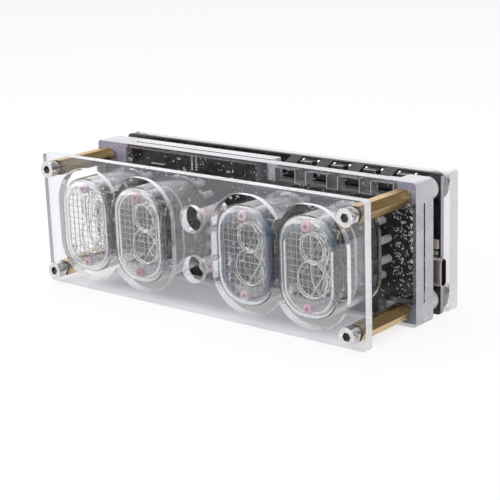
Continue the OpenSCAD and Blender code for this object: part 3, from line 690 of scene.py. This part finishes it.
def grown(name, tree_name, points, edges, slot_name, finish_name, node=None, **sizes):
    """Piece that a tree grows on points or edges, turned into a plain mesh."""
    seed = bpy.data.meshes.new(name)
    seed.from_pydata([tuple(p) for p in points], edges, [])
    piece = new_piece(name, seed)
    modifier = piece.modifiers.new("grow", "NODES")
    modifier.node_group = TREES[tree_name]
    sockets = {s.name: s.identifier for s in TREES[tree_name].interface.items_tree
               if s.item_type == "SOCKET" and s.in_out == "INPUT"}
    for label, value in {**sizes, "Finish": FINISHES[finish_name]}.items():
        modifier[sockets[label]] = value
    bpy.context.view_layer.update()
    graph = bpy.context.evaluated_depsgraph_get()
    mesh = bpy.data.meshes.new_from_object(piece.evaluated_get(graph))
    piece.modifiers.clear()
    piece.data = mesh
    bpy.data.meshes.remove(seed)
    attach(piece, BODY)
    if node:
        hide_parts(node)


class Lines:
    """Points and edges of wires, added one path at a time, in metres."""

    def __init__(self):
        self.points = []
        self.edges = []

    def path(self, points, closed=False):
        first = len(self.points)
        self.points += points
        self.edges += [(k, k + 1) for k in range(first, len(self.points) - 1)]
        if closed:
            self.edges.append((len(self.points) - 1, first))

    def drawn(self, name, slot_name, finish_name, radius, sides, node=None):
        """The wires as one piece, with their radius in mm."""
        grown(name, "wires", self.points, self.edges, slot_name, finish_name, node,
              Radius=radius * MM, Sides=sides)


# ---------- plates ----------

# Numbers of the finishes of a plate
FACE, OUTER_EDGE, OPENING, HIGHLIGHT_ARRIS, TOP_EDGE, SILL = range(6)
# Finishes of the outer edge and the openings, rounding in mm and the finish of the roundings
PLATES = {"front_panel": ("bright_edge", "wall", 0.38, HIGHLIGHT_ARRIS),
          "mid_frame_front": ("edge", "reflection_film", 0.12, -1),
          "mid_frame_rear": ("edge", "bright_edge", 0.15, HIGHLIGHT_ARRIS),
          "rear_cover": ("bright_edge", "wall", 0.2, HIGHLIGHT_ARRIS)}
WINDOWS_FROM_X = 5.0
WINDOWS_FROM_Z = 38.0
WINDOW_ARRIS_RADIUS = 0.14


def part_of_plate(node):
    """Tells a face, an outer edge, the front panel's top edge, and the walls of openings apart."""
    low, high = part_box(node)

    def choose(centre, normal):
        if abs(normal.y) > 0.9:
            return FACE
        gap = min(centre.x - low.x, high.x - centre.x, centre.z - low.z, high.z - centre.z)
        if gap < 0.9 * MM:
            # The front panel's top edge takes the darker edge finish rather than its bright one:
            # painted shade.
            return TOP_EDGE if normal.z > 0.9 and node == "front_panel" else OUTER_EDGE
        # Level sills of the rear middle frame's windows take the dark wall finish: painted reflection.
        level = abs(normal.z) > 0.5 and centre.x > WINDOWS_FROM_X * MM
        return SILL if level and node == "mid_frame_rear" else OPENING
    return choose


def make_plates():
    for node, (edge, wall, bevel, trim) in PLATES.items():
        dressed(node, ("face", edge, wall, "highlight_arris", "edge", "reflection_film"),
                part_of_plate(node), bevel=bevel, trim=trim)


def make_window_highlight_lines():
    """Painted highlights: bright lines on the upright arrises of the button windows at the front of the
    frame.
    """
    low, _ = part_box("mid_frame_front")
    mesh = frame["nodes"]["mid_frame_front"].data
    lines = Lines()
    for edge in mesh.edges:
        ends = sorted((mesh.vertices[k].co.copy() for k in edge.vertices), key=lambda p: p.z)
        upright = (ends[1].xz - ends[0].xz).length > 2 * MM and abs(ends[1].x - ends[0].x) < 0.05 * MM
        at_front = max(p.y for p in ends) < low.y + 0.05 * MM
        at_window = ends[0].z > WINDOWS_FROM_Z * MM and ends[0].x > 2 * WINDOWS_FROM_X * MM
        if upright and at_front and at_window:
            lines.path([p + Vector((0, 0.05 * MM, 0)) for p in ends])
    lines.drawn("window_highlight_lines", "clear_acrylic", "highlight_arris", WINDOW_ARRIS_RADIUS, 8)


# ---------- fasteners ----------

HEAD_RADIUS = 2.75
SOCKET_RADIUS = 1.4
SOCKET_DEPTH = 1.7


def head_or_socket(node):
    """1 inside the hexagonal sockets of the screw heads, which take a darker steel as painted shade, 0
    elsewhere.
    """
    low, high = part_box(node)
    reach = HEAD_RADIUS * MM
    axes = [(x, z) for x in (low.x + reach, high.x - reach) for z in (low.z + reach, high.z - reach)]
    face = low.y if node == "front_screws" else high.y

    def choose(centre, _):
        off = min(math.hypot(centre.x - x, centre.z - z) for x, z in axes)
        depth = abs(centre.y - face)
        return 1 if off < SOCKET_RADIUS * MM and 0.05 * MM < depth < SOCKET_DEPTH * MM else 0
    return choose


def make_fasteners():
    for node in ("front_screws", "rear_screws"):
        dressed(node, ("steel", "socket"), head_or_socket(node), bevel=0.3, steps=3)
    for level in ("top", "bottom"):
        for side in ("left", "right"):
            dressed(f"standoff_{level}_{side}", ("brass",), bevel=0.15)
    dressed("board_spacers", ("nylon",), bevel=0.3)
    dressed("rear_washers", ("washer",), bevel=0.25)


# ---------- tubes: glass ----------

GLASS_WALL = 1.0
GLASS_ROUND = 2.8
GLASS_CORNER = 9.4
GLASS_BULGE = 0.5
FACE_INSET = 9.2
SHOULDER_TURN = 80
RING_STEPS = 8
PIN_SEAL = 1.65
PIN_RADIUS = 2.0


def envelope_rings(wall):
    """(inset, depth) from the open rear edge to the middle of the domed face, in mm."""
    radius = GLASS_ROUND - wall
    centre_y = GLASS_ROUND + GLASS_BULGE
    rings = [(wall, centre_y)]
    for k in range(1, RING_STEPS + 1):
        angle = math.radians(SHOULDER_TURN * k / RING_STEPS)
        rings.append((GLASS_ROUND - radius * math.cos(angle), centre_y - radius * math.sin(angle)))
    start_inset, start_y = rings[-1]
    for k in range(1, RING_STEPS + 1):
        share = k / RING_STEPS
        inset = start_inset + (FACE_INSET - start_inset) * share
        rings.append((inset, start_y + (wall - start_y) * (1 - (1 - share) ** 2)))
    return rings


def make_envelope(tube):
    """Glass of one tube: outer and inner skin, joined at the rear edge."""
    node = f"tube_glass_{tube}"
    low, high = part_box(node)
    centre = (low + high) / 2
    width, length, height = (high - low) / MM
    form = bmesh.new()
    skins = []
    for wall in (0.0, GLASS_WALL):
        rings = []
        for inset, depth in [(wall, length)] + envelope_rings(wall):
            outline = rounded_outline(width - 2 * inset, height - 2 * inset,
                                      max(GLASS_CORNER - inset, 0.1))
            rings.append(ring_at(form, centre, low.y + depth * MM, outline))
        loft(form, rings)
        form.faces.new(rings[-1])
        skins.append(rings[0])
    loft(form, skins)
    finished(node + "_envelope", form, ("bulb",), node)


def glass_or_tin(tube):
    """0 on the pressed glass of a tube's base, 1 on its pins and on the leads in front of it."""
    low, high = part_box(f"tube_base_{tube}")
    middle = (low + high) / 2
    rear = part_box(f"tube_glass_{tube}")[1].y

    def choose(centre, _):
        off_axis = math.hypot(centre.x - middle.x, centre.z - middle.z)
        behind = centre.y > rear + 0.02 * MM and off_axis > PIN_RADIUS * MM
        return 1 if behind or centre.y < rear - PIN_SEAL * MM else 0
    return choose


# ---------- tubes: numerals ----------

NUMERAL_TOP = 9.6
TOP_LOOP = 4.5
LOW_LOOP = 5.5
TOP_CENTRE = NUMERAL_TOP - TOP_LOOP
LOW_CENTRE = LOW_LOOP - NUMERAL_TOP
NUMERAL_ORDER = (3, 8, 9, 4, 0, 5, 7, 2, 6, 1)
NUMERAL_GAP = 1.05
NUMERAL_SHAKE = 0.15
SHEET = 0.15
# Numerals in the plain bright wire; the rest take the darker wire as painted shade.
BRIGHT_NUMERALS = (3, 8, 9, 4, 7)
POST_Z = 12.2
EYE_RADIUS = 0.75


def arc(centre_x, centre_z, radius, start, stop, steps=18):
    """Points on an arc, angles in degrees from +X towards +Z."""
    turns = [math.radians(start + (stop - start) * k / steps) for k in range(steps + 1)]
    return [(centre_x + radius * math.cos(t), centre_z + radius * math.sin(t)) for t in turns]


def numeral_paths(digit):
    """Wires of one numeral, in mm from the middle of the tube."""
    top, low, height = TOP_CENTRE, LOW_CENTRE, NUMERAL_TOP
    return {
        0: [arc(0, 4.4, 5.2, 0, 180) + arc(0, -4.4, 5.2, 180, 360) + [(5.2, 4.4)]],
        1: [[(0, height), (0, -height)]],
        2: [arc(0, top, TOP_LOOP, 165, -25) + [(-LOW_LOOP, -height), (LOW_LOOP, -height)]],
        3: [arc(0, top, TOP_LOOP, 150, -90) + arc(0, low, LOW_LOOP, 90, -150)],
        4: [[(2.4, -height), (2.4, height), (-5.2, -3.6), (5.2, -3.6)]],
        5: [[(4.6, height), (-4.2, height), (-4.6, 1.2)] + arc(0, low, LOW_LOOP, 110, -150)],
        6: [arc(0, low, LOW_LOOP, 0, 360, 30), [(-5.3, -2.6), (-3.0, 4.0), (1.6, height)]],
        7: [[(-4.8, height), (4.8, height), (-1.6, -height)]],
        8: [arc(0, top, TOP_LOOP, 0, 360, 28), arc(0, low, LOW_LOOP, 0, 360, 30)],
        9: [arc(0, top, TOP_LOOP, 0, 360, 28), [(4.4, 4.0), (2.6, -3.2), (-1.8, -height)]],
    }[digit]


def make_numerals(tube):
    """Ten numerals one behind another, each hung from eyes on the two posts, and the comma."""
    node = f"numerals_{tube}"
    low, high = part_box(node)
    centre = (low + high) / 2
    pitch = ((high - low).y - 2 * SHEET * MM) / (len(NUMERAL_ORDER) - 1)
    hand = random.Random(tube)
    bright, deep, eyes = Lines(), Lines(), Lines()
    for k, digit in enumerate(NUMERAL_ORDER):
        depth = low.y + SHEET * MM + k * pitch
        off = hand.uniform(-NUMERAL_SHAKE, NUMERAL_SHAKE)
        lines = bright if digit in BRIGHT_NUMERALS else deep
        for path in numeral_paths(digit):
            closed = (Vector(path[0]) - Vector(path[-1])).length < 0.01
            shifted = [(x + off, z) for x, z in (path[:-1] if closed else path)]
            lines.path(placed(centre, depth, shifted), closed)
        for side in (-1, 1):
            stem = [(off, side * NUMERAL_TOP), (0, side * (POST_Z - EYE_RADIUS))]
            eye = arc(0, side * POST_Z, EYE_RADIUS, 0, 360, 12)[:-1]
            eyes.path(placed(centre, depth, stem))
            eyes.path(placed(centre, depth, eye), True)
    comma = [(-6.9, -6.6)] + arc(-7.2, -8.0, 0.8, 80, -200, 12) + [(-6.6, -8.6), (-8.0, -10.6)]
    bright.path(placed(centre, low.y - 0.7 * MM, comma))
    bright.drawn(node + "_wire", "numeral_wire", "wire", 0.22, 8, node)
    deep.drawn(node + "_deep", "numeral_wire", "dim", 0.14, 7, node)
    eyes.drawn(node + "_eyes", "numeral_wire", "dim", 0.16, 6, node)


# ---------- tubes: mesh ----------

MESH_PITCH = 1.95
MESH_WIRE = 0.1
SCREEN_WIRE = 0.07
MESH_CORNER = 7.5
WEAVE = 0.06
CAGE_DEPTH = 4.2
BEAD_RADIUS = 1.2
FRONT_BEAD_RADIUS = 1.55


def half_width_at(z, width, height, radius):
    """Half the width of a rounded rectangle at height z from its middle, or None outside it."""
    over = abs(z) - (height / 2 - radius)
    if over > radius:
        return None
    if over <= 0:
        return width / 2
    return width / 2 - radius + math.sqrt(radius ** 2 - over ** 2)


def around_beads(ends, upright):
    """A mesh wire, cut back where the two beads of the posts stand in the mesh."""
    (x0, z0), (x1, z1) = ends
    clear = FRONT_BEAD_RADIUS + 0.35
    if upright:
        if abs(x0) > clear:
            return [ends]
        limit = POST_Z - clear
        return [[(x0, max(z0, -limit)), (x1, min(z1, limit))]]
    if abs(z0) < POST_Z - clear:
        return [ends]
    return [[(x0, z0), (-clear, z1)], [(clear, z0), (x1, z1)]]


def sheet_lines(lines, centre, depth, width, height):
    """Crossed wires that fill a rounded rectangle, the upright ones in front."""
    for upright, across, along in ((True, width, height), (False, height, width)):
        count = int(across / 2 / MESH_PITCH)
        layer = depth + (-WEAVE if upright else WEAVE) * MM
        for k in range(-count, count + 1):
            reach = half_width_at(k * MESH_PITCH, along, across, MESH_CORNER)
            if reach is None:
                continue
            ends = [(k * MESH_PITCH, s * reach) for s in (-1, 1)]
            if not upright:
                ends = [(b, a) for a, b in ends]
            for piece in around_beads(ends, upright):
                lines.path(placed(centre, layer, piece))


def make_mesh_cage(tube):
    """Front mesh, the short mesh wall behind its rim, and the rear screen."""
    node = f"anode_mesh_{tube}"
    low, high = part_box(node)
    centre = (low + high) / 2
    width, height = (high - low).x / MM, (high - low).z / MM
    front, rear = low.y + 0.12 * MM, high.y - 0.12 * MM
    lines, screen = Lines(), Lines()
    sheet_lines(lines, centre, front, width - 0.4, height - 0.4)
    sheet_lines(screen, centre, rear, width - 0.4, height - 0.4)
    hoop, posts = (rounded_outline(width - 0.3, height - 0.3, MESH_CORNER, steps) for steps in (8, 4))
    for k in (1, 2):
        screen.path(placed(centre, front + k * CAGE_DEPTH / 2 * MM, hoop), True)
    for ends in zip(placed(centre, front, posts), placed(centre, front + CAGE_DEPTH * MM, posts)):
        screen.path(ends)
    lines.drawn(node + "_wires", "mesh_metal", "grid", MESH_WIRE, 6, node)
    screen.drawn(node + "_screen", "mesh_metal", "dim", SCREEN_WIRE, 5, node)
    make_rims(tube, centre, (front, rear), width, height)
    for k, stretch in enumerate(LACQUERED.get(tube, ())):
        make_band(f"lacquered_band_{tube}_{k}", stretch, centre, front, width + 0.1, height + 0.1,
                  "blue" if tube == 3 else "teal")


def make_rims(tube, centre, depths, width, height):
    """Flat frame bands that hold the mesh; lacquered blue in the third tube."""
    form = bmesh.new()
    for depth in depths:
        rings = []
        for inset, y in ((0, -0.1), (0, 0.12), (0.6, 0.12), (0.6, -0.1)):
            outline = rounded_outline(width - 2 * inset, height - 2 * inset, MESH_CORNER - inset, 8)
            rings.append(ring_at(form, centre, depth + y * MM, outline))
        loft(form, rings + [rings[0]])
    finished(f"mesh_rim_{tube}", form, ("blue" if tube == 3 else "rim",),
             f"anode_mesh_{tube}")


# Stretches of the cage, in degrees from +X towards +Z, that are lacquered in two of the tubes
LACQUERED = {3: ((-180, 180),), 4: ((5, 72), (108, 140))}
BAND_DEPTH = 2.2
BAND_FLANGE = 1.0


def make_band(name, stretch, centre, front, width, height, finish_name):
    """Lacquered strip round the side of the cage, with a flange that covers the mesh rim."""
    start, stop = stretch
    whole = stop - start == 360
    form = bmesh.new()
    rings = []
    for inset, y in ((0, -0.12), (0, BAND_DEPTH), (0.15, BAND_DEPTH), (0.15, 0.16),
                     (BAND_FLANGE, 0.16), (BAND_FLANGE, -0.12)):
        outline = rounded_outline(width - 2 * inset, height - 2 * inset, MESH_CORNER - inset, 10)
        outline = [(x, z) for x, z in outline if start <= math.degrees(math.atan2(z, x)) <= stop]
        rings.append(ring_at(form, centre, front + y * MM, outline))
    count = min(len(ring) for ring in rings)
    rings = [ring[:count] for ring in rings]
    loft(form, rings + [rings[0]], closed=whole)
    if not whole:
        form.faces.new([ring[0] for ring in rings])
        form.faces.new([ring[-1] for ring in rings])
    bmesh.ops.delete(form, geom=[v for v in form.verts if not v.link_faces], context="VERTS")
    finished(name, form, (finish_name,))


# ---------- tubes: beads ----------

POST_RADIUS = 0.4
BEAD_LENGTH = 0.72
END_BEAD_LENGTH = 2.0
FRONT_BEAD_LENGTH = 1.4
FRONT_BEAD_BORE = 0.62
BEAD_COUNT = 11


def bead_profile(start, length, radius, bore=0.42):
    """Closed profile of a bead with a bore and rounded shoulders, from y = start in mm."""
    end = start + length
    off = min(0.35, length / 2 - 0.02)
    return [(bore, start), (radius - off, start), (radius - off * 0.3, start + off * 0.3),
            (radius, start + off), (radius, end - off), (radius - off * 0.3, end - off * 0.3),
            (radius - off, end), (bore, end), (bore, start)]


def make_beads(tube):
    """Beads between the numerals on two posts, with a larger eyed bead at the front."""
    node = f"ceramic_beads_{tube}"
    low, high = box_in_mm(node)
    first = box_in_mm(f"numerals_{tube}")[0].y
    form = bmesh.new()
    for z in (low.z + 1.25, high.z - 1.25):
        centre = (low.x + high.x) / 2, z
        post = [(0.0, low.y + 0.9), (POST_RADIUS, low.y + 0.9), (POST_RADIUS, high.y), (0.0, high.y)]
        lathe(form, centre, post, 16, 1)
        lathe(form, centre, bead_profile(low.y, FRONT_BEAD_LENGTH, FRONT_BEAD_RADIUS, FRONT_BEAD_BORE))
        for k in range(BEAD_COUNT):
            start = first + 0.3 + (k - 1) * NUMERAL_GAP
            lathe(form, centre, bead_profile(start, BEAD_LENGTH, BEAD_RADIUS), 24, 2)
        start = first + 0.5 + (BEAD_COUNT - 1) * NUMERAL_GAP
        lathe(form, centre, bead_profile(start, END_BEAD_LENGTH, BEAD_RADIUS), 24, 2)
    finished(node + "_threaded", form, ("ceramic", "dim", "stack"), node)


def make_tubes():
    for tube in TUBES:
        make_envelope(tube)
        make_mesh_cage(tube)
        make_numerals(tube)
        make_beads(tube)
        dressed(f"tube_base_{tube}", ("base", "tin"), glass_or_tin(tube))
    dressed("tube_sockets", ("sleeve_white",), bevel=0.4, steps=4)


# ---------- colon lamps and lights ----------

LAMP_RADIUS = 2.5
ROD_OFFSET = 1.0
COATING_RADIUS = 0.8


def make_lamps():
    """Two small neon lamps with nickel rods, a coated length at the tip of each rod."""
    dressed("colon_lamp_glass", ("lamp",), bevel=0)
    dressed("colon_lamp_electrodes", ("wire",), bevel=0)
    dressed("backlight_leds", ("lens",), bevel=0.1)
    low, high = box_in_mm("colon_lamp_glass")
    form = bmesh.new()
    for z in (low.z + LAMP_RADIUS, high.z - LAMP_RADIUS):
        for x in (-ROD_OFFSET, ROD_OFFSET):
            lathe(form, (x, z), bead_profile(low.y + 2.2, 2.6, COATING_RADIUS), 20)
    finished("lamp_coating", form, ("coating",))


# ---------- boards and their parts ----------

BOARD_FRONT, BOARD_BACK = (corner.y for corner in box_in_mm("tube_board"))
MAIN_FRONT, MAIN_BACK = (corner.y for corner in box_in_mm("main_board"))
HEADER_PITCH = 2.54
SWITCH_HALF = 2.25
SWITCH_LEG = 2.95


def switch_centres():
    """X of the middle of each switch, in mm."""
    low, high = (corner.x for corner in box_in_mm("switch_covers"))
    pitch = (high - low - 2 * SWITCH_HALF) / (len(BUTTONS) - 1)
    return [low + SWITCH_HALF + k * pitch for k in range(len(BUTTONS))]


def solder(name, places, size):
    """Flattened drops of solder, with places and half sizes in mm."""
    grown(name, "dots", [Vector(p) * MM for p in places], [], "tinned_metal", "tin",
          Size=[s * MM for s in size])


def chips(name, places, size, finish_name):
    """Small square-cornered parts, with places and sizes in mm."""
    grown(name, "bricks", [Vector(p) * MM for p in places], [], "tinned_metal", finish_name,
          Size=[s * MM for s in size], Chamfer=0.12 * MM)


def scattered(hand, count, side, across, up):
    """Places strewn over a stretch of one side of a board, in mm."""
    return [(hand.uniform(*across), side, hand.uniform(*up)) for _ in range(count)]


def make_joints():
    """Solder joints of switches, tube pins and the header, and rows of tinned pads."""
    solder("switch_joints", [(x + side * SWITCH_LEG, MAIN_FRONT - 0.5, 42.4)
                             for x in switch_centres() for side in (-1, 1)], (0.85, 0.8, 1.05))
    joints = [(61.0, BOARD_FRONT, z) for z in (36.6, 34.3, 32.2, 30.1, 27.9, 25.5, 23.1, 19.0)]
    joints += [(x, BOARD_FRONT, 22 + s * 7.6) for x in (-58.5, -33.5, -9, 9, 33.5) for s in (-1, 0, 1)]
    joints += [(x, MAIN_BACK, z) for x in (12.5, 24.6, 36.7, 48.8) for z in (39.2, 41.6)]
    joints += [(-2 + (i - 3.5) * HEADER_PITCH, MAIN_BACK, 22 + (j - 0.5) * HEADER_PITCH)
               for i in range(8) for j in range(2)]
    solder("solder_joints", joints, (0.8, 0.42, 0.62))
    pads = [(-43.4 + 0.95 * k, BOARD_FRONT, z) for k in range(6) for z in (42.0, 37.4)]
    pads += [(x, BOARD_FRONT, 42.3 - 0.72 * k) for x in (-25.3, -23.4) for k in range(8)]
    pads += [(x, BOARD_FRONT, 36 - 0.9 * k) for x in (-36, -30.5) for k in range(6)]
    pads += [(x, MAIN_BACK, z + 0.8 * k) for x, z in ((-50, 12), (-44.5, 12), (30, 10), (36, 10))
             for k in range(8)]
    solder("tinned_pads", pads, (0.55, 0.10, 0.24))


def make_small_parts():
    """Vias, small pads and chip parts, which the boards carry by the hundred."""
    hand = random.Random(12)
    specks = scattered(hand, 150, BOARD_FRONT, (54.5, 62.5), (7, 37))
    specks += scattered(hand, 340, BOARD_FRONT, (-62, 62), (2.5, 41.8))
    specks += scattered(hand, 90, BOARD_BACK, (-62, 7), (2.5, 41.8))
    specks += scattered(hand, 260, MAIN_BACK, (-60, 60), (3, 41))
    specks += scattered(hand, 160, MAIN_FRONT, (-60, 60), (3, 36))
    solder("round_vias", specks[0::3], (0.24, 0.07, 0.24))
    solder("upright_pads", specks[1::3], (0.18, 0.10, 0.42))
    solder("level_pads", specks[2::3], (0.40, 0.10, 0.18))
    places = [(x, BOARD_FRONT, z) for x, z in
              ((-13, 38.4), (-9.5, 38.2), (0.8, 39.2), (3.4, 39.0), (-20.8, 39.4), (-31, 40.2),
               (57, 28.5), (56.4, 24), (58.2, 33))]
    places += scattered(hand, 30, MAIN_BACK, (-58, 58), (4, 40))
    places += scattered(hand, 30, BOARD_FRONT, (-58, 58), (4, 40))
    chips("chip_ends", places, (1.5, 0.4, 0.62), "tin")
    chips("dark_chips", places[::2], (0.85, 0.5, 0.72), "mould")
    chips("pale_chips", places[1::2], (0.85, 0.5, 0.72), "pale_chip")


def part_of_board(_, normal):
    """0 on the lacquered sides, 2 on the right-hand edge, painted pale as painted light, 1 on the other
    edges.
    """
    if abs(normal.y) > 0.9:
        return 0
    return 2 if normal.x > 0.9 else 1


def body_or_leg(node, body_depth):
    """0 inside the part's body, 1 on its legs, told by how far a face stands off the board."""
    _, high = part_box(node)

    def choose(centre, _):
        return 0 if high.y - centre.y > body_depth * MM else 1
    return choose


def switch_or_leg(centre, _):
    off = min(abs(centre.x / MM - x) for x in switch_centres())
    return 1 if off > SWITCH_HALF + 0.02 else 0


def side_of_shell(centre, normal):
    """0 outside the inlet's shell, 1 inside it, painted black as painted shade, 2 on its rim."""
    low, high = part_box("inlet_shell")
    if normal.x > 0.9 and centre.x > high.x - 0.3 * MM:
        return 2
    out = centre - (low + high) / 2
    return 0 if out.y * normal.y + out.z * normal.z > 0 else 1


def make_boards():
    for node in ("tube_board", "main_board"):
        dressed(node, ("mask", "laminate", "painted_lit_laminate"), part_of_board,
                bevel=0.06, steps=1)
    make_joints()
    make_small_parts()
    dressed("board_header", ("black",), bevel=0.1)
    dressed("header_pins", ("gold",), bevel=0.05, steps=1)
    for node, depth in (("driver_chips", 0.32), ("microcontroller", 0.27), ("clock_chip", 0.32),
                        ("power_transistor", 0.62)):
        dressed(node, ("mould", "tin"), body_or_leg(node, depth))
    dressed("optocouplers", ("mould",), bevel=0.15)
    dressed("coin_cell", ("cell",), bevel=0.3)
    dressed("coin_cell_holder", ("black",), bevel=0.2)
    dressed("inductor", ("ferrite",), bevel=0.3)
    dressed("storage_capacitor", ("sleeve",), bevel=0.3)
    dressed("small_parts", ("pale_chip",), bevel=0.08, steps=1)
    dressed("inlet_shell", ("can", "black", "steel"), side_of_shell, bevel=0.08)
    dressed("inlet_tongue", ("black",), bevel=0.1)


def make_switches():
    dressed("switch_bodies", ("black", "tin"), switch_or_leg)
    # Cover faces in the painted-shade steel, their roundings in plain steel.
    dressed("switch_covers", ("painted_shade", "steel"), bevel=0.09, trim=1)
    dressed("switch_domes", ("steel",), bevel=0)
    for k in BUTTONS:
        dressed(f"button_{k}", ("black",), bevel=0.15)


set_camera()
set_world()
set_lamps()
set_floor()
make_plates()
make_window_highlight_lines()
make_fasteners()
make_tubes()
make_lamps()
make_boards()
make_switches()

# Enough bounces for light that crosses plates and tubes many times
MOST_BOUNCES = 24
bpy.context.scene.view_settings.view_transform = "Standard"
bpy.context.scene.cycles.max_bounces = MOST_BOUNCES
bpy.context.scene.cycles.transmission_bounces = MOST_BOUNCES
bpy.context.scene.cycles.transparent_max_bounces = MOST_BOUNCES
